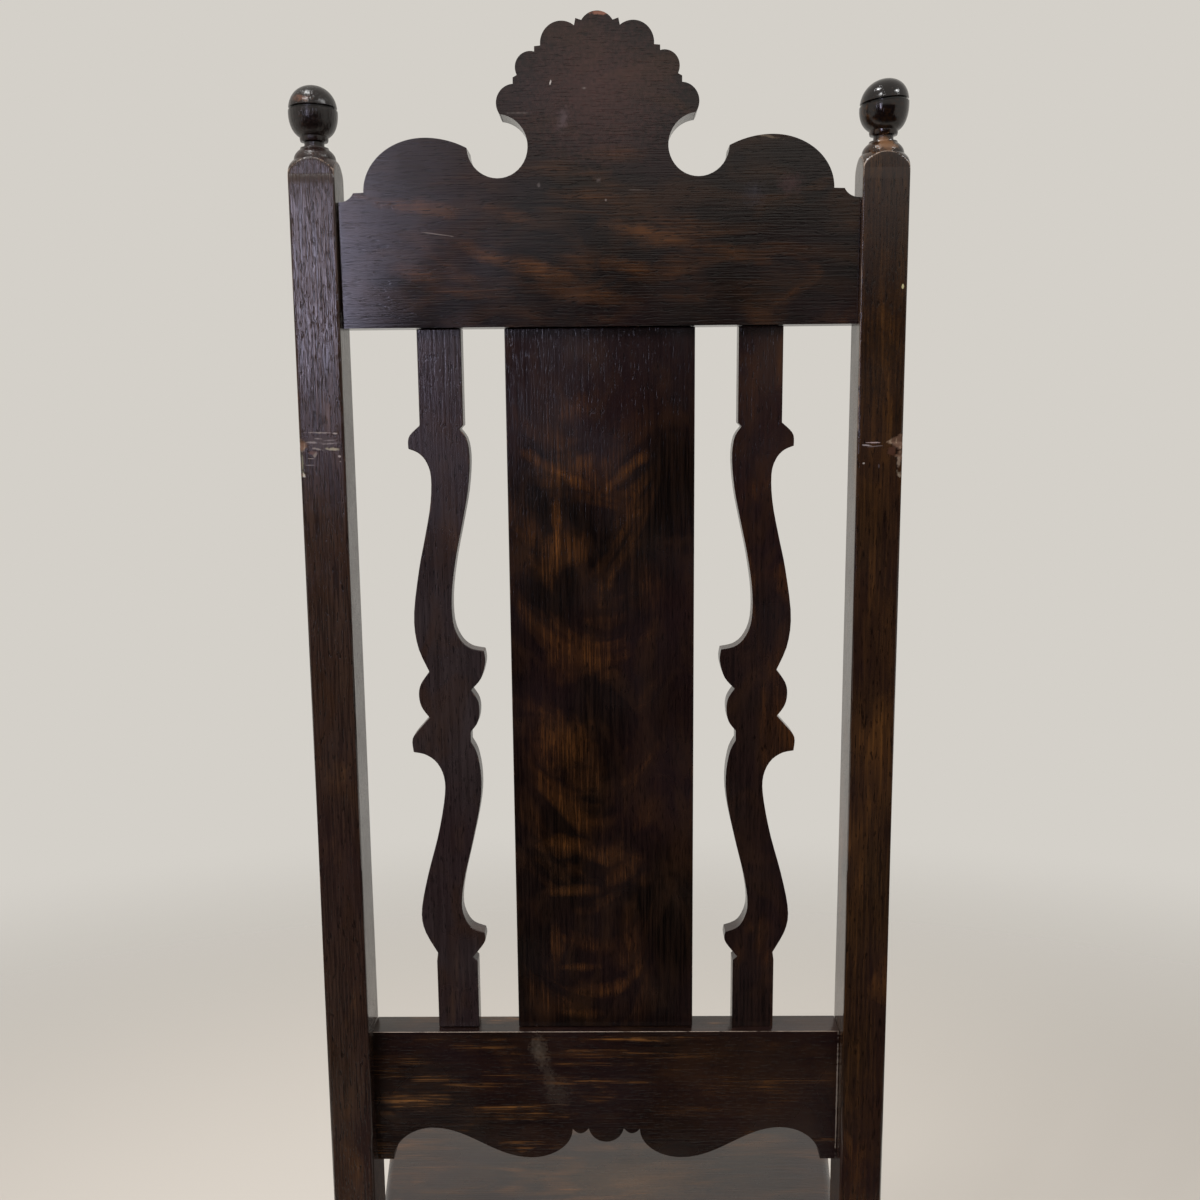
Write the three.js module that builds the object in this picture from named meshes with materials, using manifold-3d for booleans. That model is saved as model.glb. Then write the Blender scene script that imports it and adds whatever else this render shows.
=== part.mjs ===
import * as THREE from 'three';
import { mergeVertices } from 'three/addons/utils/BufferGeometryUtils.js';
import Module from 'manifold-3d';

// High-back hall chair in dark oak: two tall raked posts with turned finials, a scalloped
// crest, a plain centre splat between two scroll splats, a shaped lower back rail, a board
// seat on four rails, turned front legs and four stretchers.
// Millimetres, +Z up. The chair faces -Y and stands on the floor z = 0.

// Overall sizes
const backWidth = 410;
const seatHeight = 445;
const seatDepth = 420;
const seatFrontWidth = 458;
const seatThickness = 20;
const backRake = 7;

// Back posts: each is one piece from the floor to the top of its finial
const postWidth = 31;
const postDepthAtSeat = 40.5;
const postDepthAtTop = 28.7;
const postFootDepth = 34;
const footSetBack = 36;
const finialHeight = 49;
const finialRadius = 16.2;
const archDrop = 9.5;

// Heights along the raked back, measured up from the lower rail's bottom edge
const seatToRail = 85;
const lowerRailHeight = 104;
const openingHeight = 513;
const archHeight = 726;

// Boards of the back
const boardThickness = 23;
const boardSetBack = 1;
const splatThickness = 13;
const splatSetIn = 7;
const centreSplatWidth = 130;
const scrollSplatCentre = 110;

// Seat
const seatPastPost = 7;
const seatOverhang = 9;
const seatRearInset = 4;
const seatEdgeMould = 6.5;
const seatEdgeDrop = 7;

// Seat frame
const seatRailHeight = 58;
const seatRailThickness = 22;
const seatRailSetBack = 6;
const cornerBlockLeg = 46;
const cornerBlockHeight = 34;

// Front legs
const legSize = 42;
const legOverhang = 12;
const legTopBlock = 76;
const legLowBlock = 62;
const legFootHeight = 58;

// Stretchers
const stretcherHeight = 30;
const stretcherThickness = 20;
const stretcherLift = 89;
const rearStretcherLift = 150;

// Joints: mortise-and-tenon, with a small clearance where two pieces meet
const fit = 0.3;
const tenonsApart = 2;
const mortiseFloor = 7;
const boardTenonLength = 19;
const boardTenonThickness = 10;
const boardTenonShoulder = 12;
const splatTenonLength = 12;
const splatTenonThickness = 7;
const splatTenonShoulder = 3;
const railTenonLength = 15;
const railTenonThickness = 9;
const railTenonShoulder = 9;
const stretcherTenonThickness = 8;
const stretcherTenonShoulder = 6;

// Fineness of round forms
const turnedSides = 24;
const turnedSteps = 6;
const sawnSteps = 15;
const scrollSteps = 3;

// Sizes that follow from the ones above
const rake = THREE.MathUtils.degToRad(backRake);
const innerHalf = backWidth / 2 - postWidth;
const postCentre = backWidth / 2 - postWidth / 2;
const railBottom = seatHeight + seatToRail;
const seatUnderside = seatHeight - seatThickness;
const frameTop = seatUnderside - fit;
const seatRailBottom = frameTop - seatRailHeight;
const crestBottom = lowerRailHeight + openingHeight;
const boardFront = boardSetBack;
const boardRear = boardSetBack + boardThickness;
const splatRear = boardRear - splatSetIn;
const splatFront = splatRear - splatThickness;
const postFrontAtSeat = -seatToRail * Math.tan(rake);
const postRearAtSeat = postFrontAtSeat + postDepthAtSeat;

const wasm = await Module();
wasm.setup();

const darkOak = () => new THREE.MeshStandardMaterial({ color: 0x241a17, roughness: 0.32, metalness: 0 });
const figuredOak = () => new THREE.MeshStandardMaterial({ color: 0x33211a, roughness: 0.35, metalness: 0 });
const undersideOak = () => new THREE.MeshStandardMaterial({ color: 0x3a2a20, roughness: 0.6, metalness: 0 });

// A closed solid from a closed geometry, with corners that lie together joined into one
function solid(geometry) {
  const bare = geometry.clone();
  bare.deleteAttribute('normal');
  bare.deleteAttribute('uv');
  const joined = mergeVertices(bare, 1e-4);
  const triangles = [];
  for (let i = 0; i < joined.index.count; i += 3) {
    const [a, b, c] = [0, 1, 2].map((k) => joined.index.getX(i + k));
    if (a !== b && b !== c && c !== a) triangles.push(a, b, c);
  }
  return new wasm.Manifold(new wasm.Mesh({
    numProp: 3,
    vertProperties: Float32Array.from(joined.attributes.position.array),
    triVerts: Uint32Array.from(triangles),
  }));
}

function piece(name, body, material) {
  const { vertProperties, triVerts } = body.getMesh();
  const geometry = new THREE.BufferGeometry();
  geometry.setAttribute('position', new THREE.BufferAttribute(vertProperties, 3));
  geometry.setIndex(new THREE.BufferAttribute(triVerts, 1));
  geometry.computeVertexNormals();
  const mesh = new THREE.Mesh(geometry, material);
  mesh.name = name;
  return mesh;
}

// A rectangular block from its low and high sides along X, Y and Z
function blockGeometry([x, y, z]) {
  const geometry = new THREE.BoxGeometry(x[1] - x[0], y[1] - y[0], z[1] - z[0]);
  return geometry.translate((x[0] + x[1]) / 2, (y[0] + y[1]) / 2, (z[0] + z[1]) / 2);
}

const block = (sides) => solid(blockGeometry(sides));
const grown = (sides, gap) => sides.map(([low, high]) => [low - gap, high + gap]);
const mirrored = ([low, high]) => [-high, -low];

// An outline drawn across X and up Z, sawn from a board that fills low to high along Y
function board(outline, [low, high]) {
  const shape = outline instanceof THREE.Shape ? outline : new THREE.Shape(outline);
  const geometry = new THREE.ExtrudeGeometry(shape, {
    depth: high - low, bevelEnabled: false,
  });
  return solid(geometry.rotateX(Math.PI / 2).translate(0, high, 0));
}

// An outline drawn in plan, filling low to high along Z
function slab(outline, [low, high]) {
  const geometry = new THREE.ExtrudeGeometry(new THREE.Shape(outline), {
    depth: high - low, bevelEnabled: false,
  });
  return solid(geometry.translate(0, 0, low));
}

// A turned form about an upright axis, from a path of radius and height
function turnedGeometry(path) {
  return new THREE.LatheGeometry(path.getPoints(turnedSteps), turnedSides).rotateX(Math.PI / 2);
}

const point = (x, y) => new THREE.Vector2(x, y);

// The back leans about the front edge of the lower rail's bottom
const back = new THREE.Group();
back.position.set(0, 0, railBottom);
back.rotation.x = -rake;
back.updateMatrix();

const onBack = (geometry) => geometry.clone().applyMatrix4(back.matrix);

// Tenons of a board of the back, one into each post
function boardTenon(side, low, high) {
  const x = [innerHalf - postWidth / 2, innerHalf + boardTenonLength];
  const middle = (boardFront + boardRear) / 2;
  return [
    side > 0 ? x : mirrored(x),
    [middle - boardTenonThickness / 2, middle + boardTenonThickness / 2],
    [low + boardTenonShoulder, high - boardTenonShoulder],
  ];
}

// Splat tenons: a narrower tongue at each end, housed in the crest and in the lower rail
const splatMiddle = (splatFront + splatRear) / 2;
function splatTenon(left, right, low, high) {
  return [
    [left + splatTenonShoulder, right - splatTenonShoulder],
    [splatMiddle - splatTenonThickness / 2, splatMiddle + splatTenonThickness / 2],
    [low, high],
  ];
}

// Scroll splat, drawn about its own centre line for an opening of the drawn height: each run
// goes from one cusp to the next, as distance towards the post and height above the rail
const drawnOpening = 513;
const scrollRuns = {
  towardsPost: [
    [[14.2, 59.4], [23.3, 77.1], [25, 93.6], [19.5, 120.6], [11, 151.6], [5.6, 180], [5.6, 195],
      [10.5, 206], [18.5, 212], [27, 213.9]],
    [[27, 213.9], [27.4, 224], [21.3, 232.2], [14.7, 239.6]],
    [[14.7, 239.6], [20.2, 247.6], [21.8, 256.6], [20, 264.6], [13.8, 273.3]],
    [[13.8, 273.3], [21.3, 291.6], [23.4, 314], [18.8, 346.6], [14.5, 366.6], [9.4, 392], [8.3, 412],
      [11.2, 422.5], [16.5, 428.6], [23.4, 431.6]],
    [[23.4, 431.6], [22.6, 440], [15, 447.6]],
  ],
  towardsMiddle: [
    [[-12.8, 445.1], [-17.6, 437.6], [-19.2, 424], [-17.4, 403], [-13, 380.6], [-7.4, 354], [-4, 329],
      [-4.4, 309], [-9, 297], [-16, 290.6], [-25.7, 288.4]],
    [[-25.7, 288.4], [-26.5, 280], [-23, 268], [-15.8, 259.8]],
    [[-15.8, 259.8], [-20.4, 252.4], [-21.5, 244.3], [-19.8, 235.6], [-14.8, 228.9]],
    [[-14.7, 221.6], [-19, 212.6], [-21.5, 196], [-20.5, 176.6], [-14.5, 147.6], [-7.4, 118], [-4.8, 98],
      [-6.8, 87], [-12, 79], [-21, 75.3]],
    [[-21, 75.3], [-21, 68], [-12, 56]],
  ],
};
const stubTowardsPost = 15;
const stubTowardsMiddle = -15.3;
const stubLow = 53;
const stubHigh = 447.6;

function scrollOutline(side) {
  const stretch = openingHeight / drawnOpening;
  const place = ([across, up]) => point(
    side * (scrollSplatCentre + across), lowerRailHeight + up * stretch,
  );
  const shape = new THREE.Shape();
  const line = (across, up) => {
    const end = place([across, up]);
    shape.lineTo(end.x, end.y);
  };
  const curve = (run) => {
    line(...run[0]);
    shape.splineThru(run.slice(1).map(place));
  };
  const start = place([stubTowardsMiddle, fit / stretch]);
  const end = drawnOpening - fit / stretch;
  shape.moveTo(start.x, start.y);
  line(stubTowardsPost, fit / stretch);
  line(stubTowardsPost, stubLow);
  scrollRuns.towardsPost.forEach(curve);
  line(stubTowardsPost, end);
  line(stubTowardsMiddle, end);
  line(stubTowardsMiddle, stubHigh);
  scrollRuns.towardsMiddle.forEach(curve);
  line(stubTowardsMiddle, stubLow);
  return new THREE.Shape(shape.getPoints(scrollSteps));
}

const scrollEnds = (side) => [stubTowardsMiddle, stubTowardsPost]
  .map((edge) => side * (scrollSplatCentre + edge))
  .sort((a, b) => a - b);

// Crest: half of its outline, from the middle of the bottom edge round to the top of the
// centre lobe, drawn for the drawn half width and stretched across to the real one
const drawnHalf = 174;
const crestEndHeight = 82;
const fromDegrees = (angle) => THREE.MathUtils.degToRad(angle);

function crestHalf() {
  const half = new THREE.Path();
  half.moveTo(0, 0);
  half.lineTo(drawnHalf, 0);
  half.lineTo(drawnHalf, crestEndHeight);
  half.lineTo(171.5, crestEndHeight);
  half.quadraticCurveTo(165.5, 83.2, 163.3, 87.8);
  half.lineTo(156.4, 88);
  half.absellipse(115, 88, 41.4, 34.4, 0, fromDegrees(90), false);
  half.absarc(115, 60.1, 62.3, fromDegrees(90), fromDegrees(116.8), false);
  half.absarc(66.7, 116.5, 20.2, fromDegrees(-2.3), fromDegrees(-263.5), true);
  half.absarc(54.9, 143.5, 11.9, fromDegrees(-38), fromDegrees(87), false);
  half.lineTo(55.5, 159.3);
  half.absarc(43.9, 165.5, 10, fromDegrees(-28), fromDegrees(106), false);
  half.lineTo(41.1, 178.4);
  half.absarc(23.4, 180, 13.8, fromDegrees(-5), fromDegrees(128), false);
  half.lineTo(14, 195.3);
  half.absarc(0, 187.7, 12, fromDegrees(32), fromDegrees(90), false);
  return half.getPoints(sawnSteps);
}

// Lower rail: half of its bottom edge, from the middle bead out to the end block
function lowerRailHalf() {
  const half = new THREE.Path();
  half.absarc(0, 27.5, 13.4, fromDegrees(-90), fromDegrees(-10), false);
  half.quadraticCurveTo(19.3, 17.2, 25.4, 24.7);
  half.absellipse(57, 24.7, 31.6, 23.5, fromDegrees(180), fromDegrees(270), false);
  half.bezierCurveTo(85, 1.2, 104, 25.9, 131, 25.9);
  half.absellipse(131, 0, 30.7, 25.9, fromDegrees(90), 0, true);
  half.lineTo(drawnHalf, 0);
  half.lineTo(drawnHalf, lowerRailHeight);
  half.lineTo(0, lowerRailHeight);
  return half.getPoints(sawnSteps);
}

// A whole symmetrical outline from its right half
function bothHalves(half, lift) {
  const stretch = (innerHalf - fit) / drawnHalf;
  const right = half.map((p) => point(p.x * stretch, p.y + lift));
  const left = right.filter((p) => p.x > fit).map((p) => point(-p.x, p.y)).reverse();
  return [...right, ...left];
}

const crestOutline = bothHalves(crestHalf(), crestBottom);
const lowerRailOutline = bothHalves(lowerRailHalf(), 0);

const sides = [['left', 1], ['right', -1]];
const crestTenons = sides.map(([, side]) => boardTenon(side, crestBottom, crestBottom + crestEndHeight));
const lowerTenons = sides.map(([, side]) => boardTenon(side, 0, lowerRailHeight));

const splatSpans = [
  [-centreSplatWidth / 2, centreSplatWidth / 2], ...sides.map(([, side]) => scrollEnds(side)),
];
const splatTop = crestBottom + splatTenonLength;
const splatFoot = lowerRailHeight - splatTenonLength;
const splatTenons = splatSpans.map(([left, right]) => splatTenon(left, right, splatFoot, splatTop));

function mortised(body, tenons) {
  return tenons.reduce((rest, tenon) => rest.subtract(block(grown(tenon, fit))), body);
}

function tenoned(body, tenons) {
  return tenons.reduce((whole, tenon) => whole.add(block(tenon)), body);
}

const crest = mortised(
  tenoned(board(crestOutline, [boardFront, boardRear]), crestTenons), splatTenons,
);
const lowerRail = mortised(
  tenoned(board(lowerRailOutline, [boardFront, boardRear]), lowerTenons), splatTenons,
);

const centreSplatSides = [
  splatSpans[0], [splatFront, splatRear], [lowerRailHeight + fit, crestBottom - fit],
];
const centreSplat = tenoned(block(centreSplatSides), [splatTenons[0]]);

// A scroll swings past the line of its tongues, so each tongue is rooted in the end stub only
function scrollSplat(side, [across, deep]) {
  const tongues = [lowerRailHeight, crestBottom].map((end) => [
    across, deep, [end - splatTenonLength, end + splatTenonLength],
  ]);
  return tenoned(board(scrollOutline(side), [splatFront, splatRear]), tongues);
}

back.add(
  piece('crest_rail', crest, figuredOak()),
  piece('lower_back_rail', lowerRail, figuredOak()),
  piece('centre_splat', centreSplat, figuredOak()),
);
sides.forEach(([label, side], i) => {
  back.add(piece(`scroll_splat_${label}`, scrollSplat(side, splatTenons[i + 1]), darkOak()));
});

// Turned end of a post, as radius and height above the arch where it leaves the square. The
// square stock passes freely through the wide part of the path below the arch.
function finialPath(depthBelow) {
  const corner = Math.hypot(postWidth, postDepthAtTop) / 2 + 1;
  const path = new THREE.Path();
  path.moveTo(0, -depthBelow);
  path.lineTo(backWidth, -depthBelow);
  path.lineTo(backWidth, -archDrop);
  path.lineTo(corner, -archDrop);
  path.quadraticCurveTo(19.5, -3.2, 13.9, 1.4);
  path.quadraticCurveTo(13.9, 5.2, 9.6, 8.2);
  path.lineTo(9.3, 9.3);
  path.lineTo(6.6, 10);
  path.lineTo(6.6, 12.6);
  path.lineTo(9, 13.4);
  path.lineTo(9.4, 16.2);
  path.bezierCurveTo(14.2, 18.8, finialRadius + 0.4, 25, finialRadius, 32.8);
  path.lineTo(finialRadius - 1.2, 33.2);
  path.lineTo(finialRadius - 1.2, 34.2);
  path.lineTo(finialRadius - 0.3, 34.7);
  path.bezierCurveTo(finialRadius - 1.2, 43.5, 8.6, finialHeight, 0, finialHeight);
  return path;
}

const squarePastArch = 5;

// Side view of a post: the leg is set back at the floor, upright at the seat rails and raked above
function postProfile() {
  const alongBack = (depth, height) => {
    const at = new THREE.Vector3(0, depth, height).applyMatrix4(back.matrix);
    return point(at.y, at.z);
  };
  const turnBase = archHeight + squarePastArch;
  return [
    point(postFrontAtSeat + footSetBack, 0),
    point(postFrontAtSeat + footSetBack + postFootDepth, 0),
    point(postRearAtSeat, seatRailBottom),
    point(postRearAtSeat, seatHeight),
    alongBack(postDepthAtTop, turnBase),
    alongBack(0, turnBase),
    point(postFrontAtSeat, seatHeight),
    point(postFrontAtSeat, seatRailBottom),
  ];
}

// A side view sawn through from low to high along X
function sideBoard(outline, [low, high]) {
  const geometry = new THREE.ExtrudeGeometry(new THREE.Shape(outline), {
    depth: high - low, bevelEnabled: false,
  });
  geometry.rotateY(Math.PI / 2).rotateX(Math.PI / 2);
  return solid(geometry.translate(low, 0, 0));
}

// Rear seat rail, between the posts
const rearRailFront = postFrontAtSeat + seatRailSetBack;
const rearRailRear = rearRailFront + seatRailThickness;
const railMiddle = (rearRailFront + rearRailRear) / 2;

function railTenon(side, start, middle) {
  const x = [start - railTenonLength, start + railTenonLength];
  return [
    side > 0 ? x : mirrored(x),
    [middle - railTenonThickness / 2, middle + railTenonThickness / 2],
    [seatRailBottom + railTenonShoulder, frameTop - railTenonShoulder],
  ];
}

// Front legs stand under the seat's front corners
const seatRear = postRearAtSeat - seatRearInset;
const seatFront = seatRear - seatDepth;
const seatRearHalf = innerHalf + seatPastPost;
const seatFlare = (seatFrontWidth / 2 - seatRearHalf) / (postFrontAtSeat - seatFront);
const seatHalfAt = (y) => seatRearHalf + (postFrontAtSeat - y) * seatFlare;
const legFront = seatFront + legOverhang;
const legRear = legFront + legSize;
const legMiddle = (legFront + legRear) / 2;
const legOuter = seatHalfAt(legMiddle) - seatOverhang;
const legCentre = legOuter - legSize / 2;
const legInner = legOuter - legSize;

// Front seat rail, between the front legs
const frontRailFront = legFront + seatRailSetBack;
const frontRailRear = frontRailFront + seatRailThickness;
const frontRailMiddle = (frontRailFront + frontRailRear) / 2;

// Side rails and side stretchers run beside the seat's edge, spreading towards the front
const sideRailCentre = (y) => seatHalfAt(y) - seatOverhang - seatRailThickness / 2;
const stretcherRearX = postCentre;
const stretcherLow = stretcherLift - stretcherHeight / 2;
const stretcherHigh = stretcherLift + stretcherHeight / 2;
const legFrontSlope = footSetBack / seatRailBottom;
const postFrontAt = (z) => postFrontAtSeat + (seatRailBottom - z) * legFrontSlope;
const stretcherFlare = (legCentre - stretcherRearX) / (postFrontAt(stretcherLift) - legRear);
const stretcherCentre = (y) => stretcherRearX + (postFrontAt(stretcherLift) - y) * stretcherFlare;

// A bar that follows a spreading centre line from the rear to the front
function spreadingBar(side, centreAt, thickness, [rear, front], height) {
  const across = thickness / 2;
  const plan = [
    point(side * (centreAt(front) - across), front),
    point(side * (centreAt(front) + across), front),
    point(side * (centreAt(rear) + across), rear),
    point(side * (centreAt(rear) - across), rear),
  ];
  return slab(side > 0 ? plan : plan.reverse(), height);
}

// Side tenons stop short of the tenons that cross them in the legs
const sideRailTenonRear = rearRailRear - mortiseFloor;
const sideRailTenonFront = frontRailMiddle + railTenonThickness / 2 + tenonsApart;
function sideRailTenon(side, gap) {
  return spreadingBar(
    side, sideRailCentre, railTenonThickness + 2 * gap,
    [sideRailTenonRear + gap, sideRailTenonFront - gap],
    [seatRailBottom + railTenonShoulder - gap, frameTop - railTenonShoulder + gap],
  );
}

const sideTenonStop = stretcherTenonThickness / 2 + tenonsApart;
const stretcherTenonRear = postFrontAt(stretcherLift) + postFootDepth / 2 - sideTenonStop;
const stretcherTenonFront = legMiddle + sideTenonStop;
function sideStretcherTenon(side, gap) {
  return spreadingBar(
    side, stretcherCentre, stretcherTenonThickness + 2 * gap,
    [stretcherTenonRear + gap, stretcherTenonFront - gap],
    [stretcherLow + stretcherTenonShoulder - gap, stretcherHigh - stretcherTenonShoulder + gap],
  );
}

// Rear and front stretchers run straight across
const rearStretcherMiddle = postFrontAt(rearStretcherLift) + postFootDepth / 2;
function crossTenon(start, middle, lift) {
  const tenonHalf = stretcherHeight / 2 - stretcherTenonShoulder;
  return [
    [-start - railTenonLength, start + railTenonLength],
    [middle - stretcherTenonThickness / 2, middle + stretcherTenonThickness / 2],
    [lift - tenonHalf, lift + tenonHalf],
  ];
}
const rearStretcherTenon = crossTenon(innerHalf, rearStretcherMiddle, rearStretcherLift);

function backPost(side, boardTenons) {
  const inner = side * innerHalf;
  const outer = side * backWidth / 2;
  const stock = sideBoard(postProfile(), [Math.min(inner, outer), Math.max(inner, outer)]);
  const blankRadius = finialRadius + tenonsApart;
  const blank = new THREE.CylinderGeometry(blankRadius, blankRadius, finialHeight, turnedSides);
  blank.rotateX(Math.PI / 2).translate(0, 0, archHeight + squarePastArch - tenonsApart + finialHeight / 2);
  const turnedEnd = turnedGeometry(finialPath(archHeight + 2 * seatHeight)).translate(0, 0, archHeight);
  const toAxis = (geometry) => onBack(geometry.translate(side * postCentre, postDepthAtTop / 2, 0));
  const shaped = stock.add(solid(toAxis(blank))).intersect(solid(toAxis(turnedEnd)));
  const withMortises = boardTenons.reduce(
    (rest, tenon) => rest.subtract(solid(onBack(blockGeometry(grown(tenon, fit))))), shaped,
  );
  return withMortises
    .subtract(block(grown(railTenon(side, innerHalf, railMiddle), fit)))
    .subtract(sideStretcherTenon(side, fit))
    .subtract(block(grown(rearStretcherTenon, fit)));
}

const chair = new THREE.Group();
chair.add(back);
sides.forEach(([label, side], i) => {
  chair.add(piece(`back_post_${label}`, backPost(side, [crestTenons[i], lowerTenons[i]]), darkOak()));
});

// Seat: a board notched round the posts, with a thumbnail mould on its front and sides
function seatBoard() {
  const notchFront = postFrontAtSeat - fit;
  const between = innerHalf - fit;
  const outline = [
    point(-seatHalfAt(seatFront), seatFront),
    point(seatHalfAt(seatFront), seatFront),
    point(seatHalfAt(notchFront), notchFront),
    point(between, notchFront),
    point(between, seatRear),
    point(-between, seatRear),
    point(-between, notchFront),
    point(-seatHalfAt(notchFront), notchFront),
  ];
  const pastRear = seatRear + seatThickness;
  const mouldOutline = [
    point(-seatHalfAt(seatFront), seatFront),
    point(seatHalfAt(seatFront), seatFront),
    point(seatHalfAt(pastRear), pastRear),
    point(-seatHalfAt(pastRear), pastRear),
  ];
  const moulded = new THREE.ExtrudeGeometry(new THREE.Shape(mouldOutline), {
    depth: seatThickness,
    bevelEnabled: true,
    bevelThickness: seatEdgeDrop,
    bevelSize: seatEdgeMould,
    bevelOffset: -seatEdgeMould,
    bevelSegments: 4,
  });
  moulded.translate(0, 0, seatUnderside - seatEdgeDrop);
  return slab(outline, [seatUnderside, seatHeight]).intersect(solid(moulded));
}
chair.add(piece('seat_board', seatBoard(), darkOak()));

// Seat rails
const rearRailTenons = [1, -1].map((side) => railTenon(side, innerHalf, railMiddle));
const rearRail = [1, -1].reduce(
  (rest, side) => rest.subtract(sideRailTenon(side, fit)),
  tenoned(block([
    [-innerHalf + fit, innerHalf - fit], [rearRailFront, rearRailRear], [seatRailBottom, frameTop],
  ]), rearRailTenons),
);
const frontRailTenons = [1, -1].map((side) => railTenon(side, legInner, frontRailMiddle));
const frontRail = tenoned(block([
  [-legInner + fit, legInner - fit], [frontRailFront, frontRailRear], [seatRailBottom, frameTop],
]), frontRailTenons);
chair.add(piece('seat_rail_rear', rearRail, undersideOak()));
chair.add(piece('seat_rail_front', frontRail, darkOak()));

function sideRail(side) {
  const body = spreadingBar(
    side, sideRailCentre, seatRailThickness, [rearRailFront - fit, legRear + fit], [seatRailBottom, frameTop],
  );
  return body.add(sideRailTenon(side, 0));
}

// Corner blocks glued inside the seat frame
const sideRailInner = (y) => sideRailCentre(y) - seatRailThickness / 2;
const cornerSpan = [frameTop - cornerBlockHeight, frameTop];

function cornerBlockRear(side) {
  const y = rearRailFront - fit;
  const far = y - cornerBlockLeg;
  const plan = [
    point(side * (sideRailInner(y) - fit - cornerBlockLeg), y),
    point(side * (sideRailInner(far) - fit), far),
    point(side * (sideRailInner(y) - fit), y),
  ];
  return slab(side > 0 ? plan : plan.reverse(), cornerSpan);
}

function cornerBlockFront(side) {
  const y = frontRailRear + fit;
  const pastLeg = legRear + fit;
  const near = legInner - fit;
  const far = pastLeg + cornerBlockLeg;
  const plan = [
    point(side * (near - cornerBlockLeg), y),
    point(side * near, y),
    point(side * near, pastLeg),
    point(side * (sideRailInner(pastLeg) - fit), pastLeg),
    point(side * (sideRailInner(far) - fit), far),
  ];
  return slab(side > 0 ? plan : plan.reverse(), cornerSpan);
}

// Front leg: left square at its two blocks and turned between and below them
function legPath() {
  const half = legSize / 2;
  const corner = half * Math.SQRT2;
  const bead = half - 1;
  const belly = half - 0.5;
  const ring = half - 4;
  const foot = half - 6;
  const neck = half - 9;
  const lowTop = legFootHeight + legLowBlock;
  const highBase = frameTop - legTopBlock;
  const path = new THREE.Path();
  path.moveTo(0, 0);
  path.lineTo(foot, 0);
  path.bezierCurveTo(half + 5, 8, half + 5, 34, foot, 40);
  path.lineTo(half - 8, 44);
  path.lineTo(bead, 47);
  path.lineTo(bead, 51);
  path.quadraticCurveTo(half + 6, 53, corner, legFootHeight);
  path.lineTo(legSize, legFootHeight);
  path.lineTo(legSize, lowTop);
  path.lineTo(corner, lowTop);
  path.quadraticCurveTo(half + 6, lowTop + 6, bead, lowTop + 7);
  path.lineTo(bead, lowTop + 11);
  path.lineTo(half - 7, lowTop + 14);
  path.bezierCurveTo(neck, lowTop + 30, belly, lowTop + 40, belly, lowTop + 62);
  path.bezierCurveTo(belly, lowTop + 90, neck, highBase - 80, neck, highBase - 34);
  path.lineTo(ring, highBase - 31);
  path.lineTo(ring, highBase - 26);
  path.lineTo(half - 8.5, highBase - 22);
  path.quadraticCurveTo(half - 8.5, highBase - 13, bead, highBase - 11);
  path.lineTo(bead, highBase - 7);
  path.quadraticCurveTo(half + 6, highBase - 6, corner, highBase);
  path.lineTo(legSize, highBase);
  path.lineTo(legSize, frameTop);
  path.lineTo(0, frameTop);
  return path;
}

const frontStretcherTenon = crossTenon(legInner, legMiddle, stretcherLift);

function frontLeg(side) {
  const across = [legInner, legOuter];
  const square = block([side > 0 ? across : mirrored(across), [legFront, legRear], [0, frameTop]]);
  const turning = turnedGeometry(legPath()).translate(side * legCentre, legMiddle, 0);
  return square.intersect(solid(turning))
    .subtract(block(grown(railTenon(side, legInner, frontRailMiddle), fit)))
    .subtract(sideRailTenon(side, fit))
    .subtract(sideStretcherTenon(side, fit))
    .subtract(block(grown(frontStretcherTenon, fit)));
}

sides.forEach(([label, side]) => {
  chair.add(piece(`seat_rail_${label}`, sideRail(side), darkOak()));
  chair.add(piece(`corner_block_rear_${label}`, cornerBlockRear(side), undersideOak()));
  chair.add(piece(`corner_block_front_${label}`, cornerBlockFront(side), undersideOak()));
  chair.add(piece(`front_leg_${label}`, frontLeg(side), darkOak()));
});

// Side stretchers: their rear shoulders are cut to the slope of the back legs
function sideStretcher(side) {
  const shoulderFront = (z) => postFrontAt(z) - fit;
  const far = postFrontAt(0) + postFootDepth;
  const behindLeg = sideBoard([
    point(shoulderFront(0), 0),
    point(far, 0),
    point(far, seatRailBottom),
    point(shoulderFront(seatRailBottom), seatRailBottom),
  ], [-backWidth, backWidth]);
  const bar = spreadingBar(
    side, stretcherCentre, stretcherThickness,
    [stretcherTenonRear, legRear + fit], [stretcherLow, stretcherHigh],
  );
  return bar.subtract(behindLeg).add(sideStretcherTenon(side, 0));
}

function crossStretcher(start, middle, lift, tenon) {
  const bar = block([
    [-start + fit, start - fit],
    [middle - stretcherThickness / 2, middle + stretcherThickness / 2],
    [lift - stretcherHeight / 2, lift + stretcherHeight / 2],
  ]);
  return bar.add(block(tenon));
}

sides.forEach(([label, side]) => {
  chair.add(piece(`stretcher_${label}`, sideStretcher(side), darkOak()));
});
const rearStretcher = crossStretcher(
  innerHalf, rearStretcherMiddle, rearStretcherLift, rearStretcherTenon,
);
const frontStretcher = crossStretcher(legInner, legMiddle, stretcherLift, frontStretcherTenon);
chair.add(piece('stretcher_rear', rearStretcher, darkOak()));
chair.add(piece('stretcher_front', frontStretcher, darkOak()));

// The origin is the middle of the chair's footprint, on the floor
chair.updateMatrixWorld(true);
const footprint = new THREE.Box3().setFromObject(chair);
chair.position.y = -(footprint.min.y + footprint.max.y) / 2;

export default chair;
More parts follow.
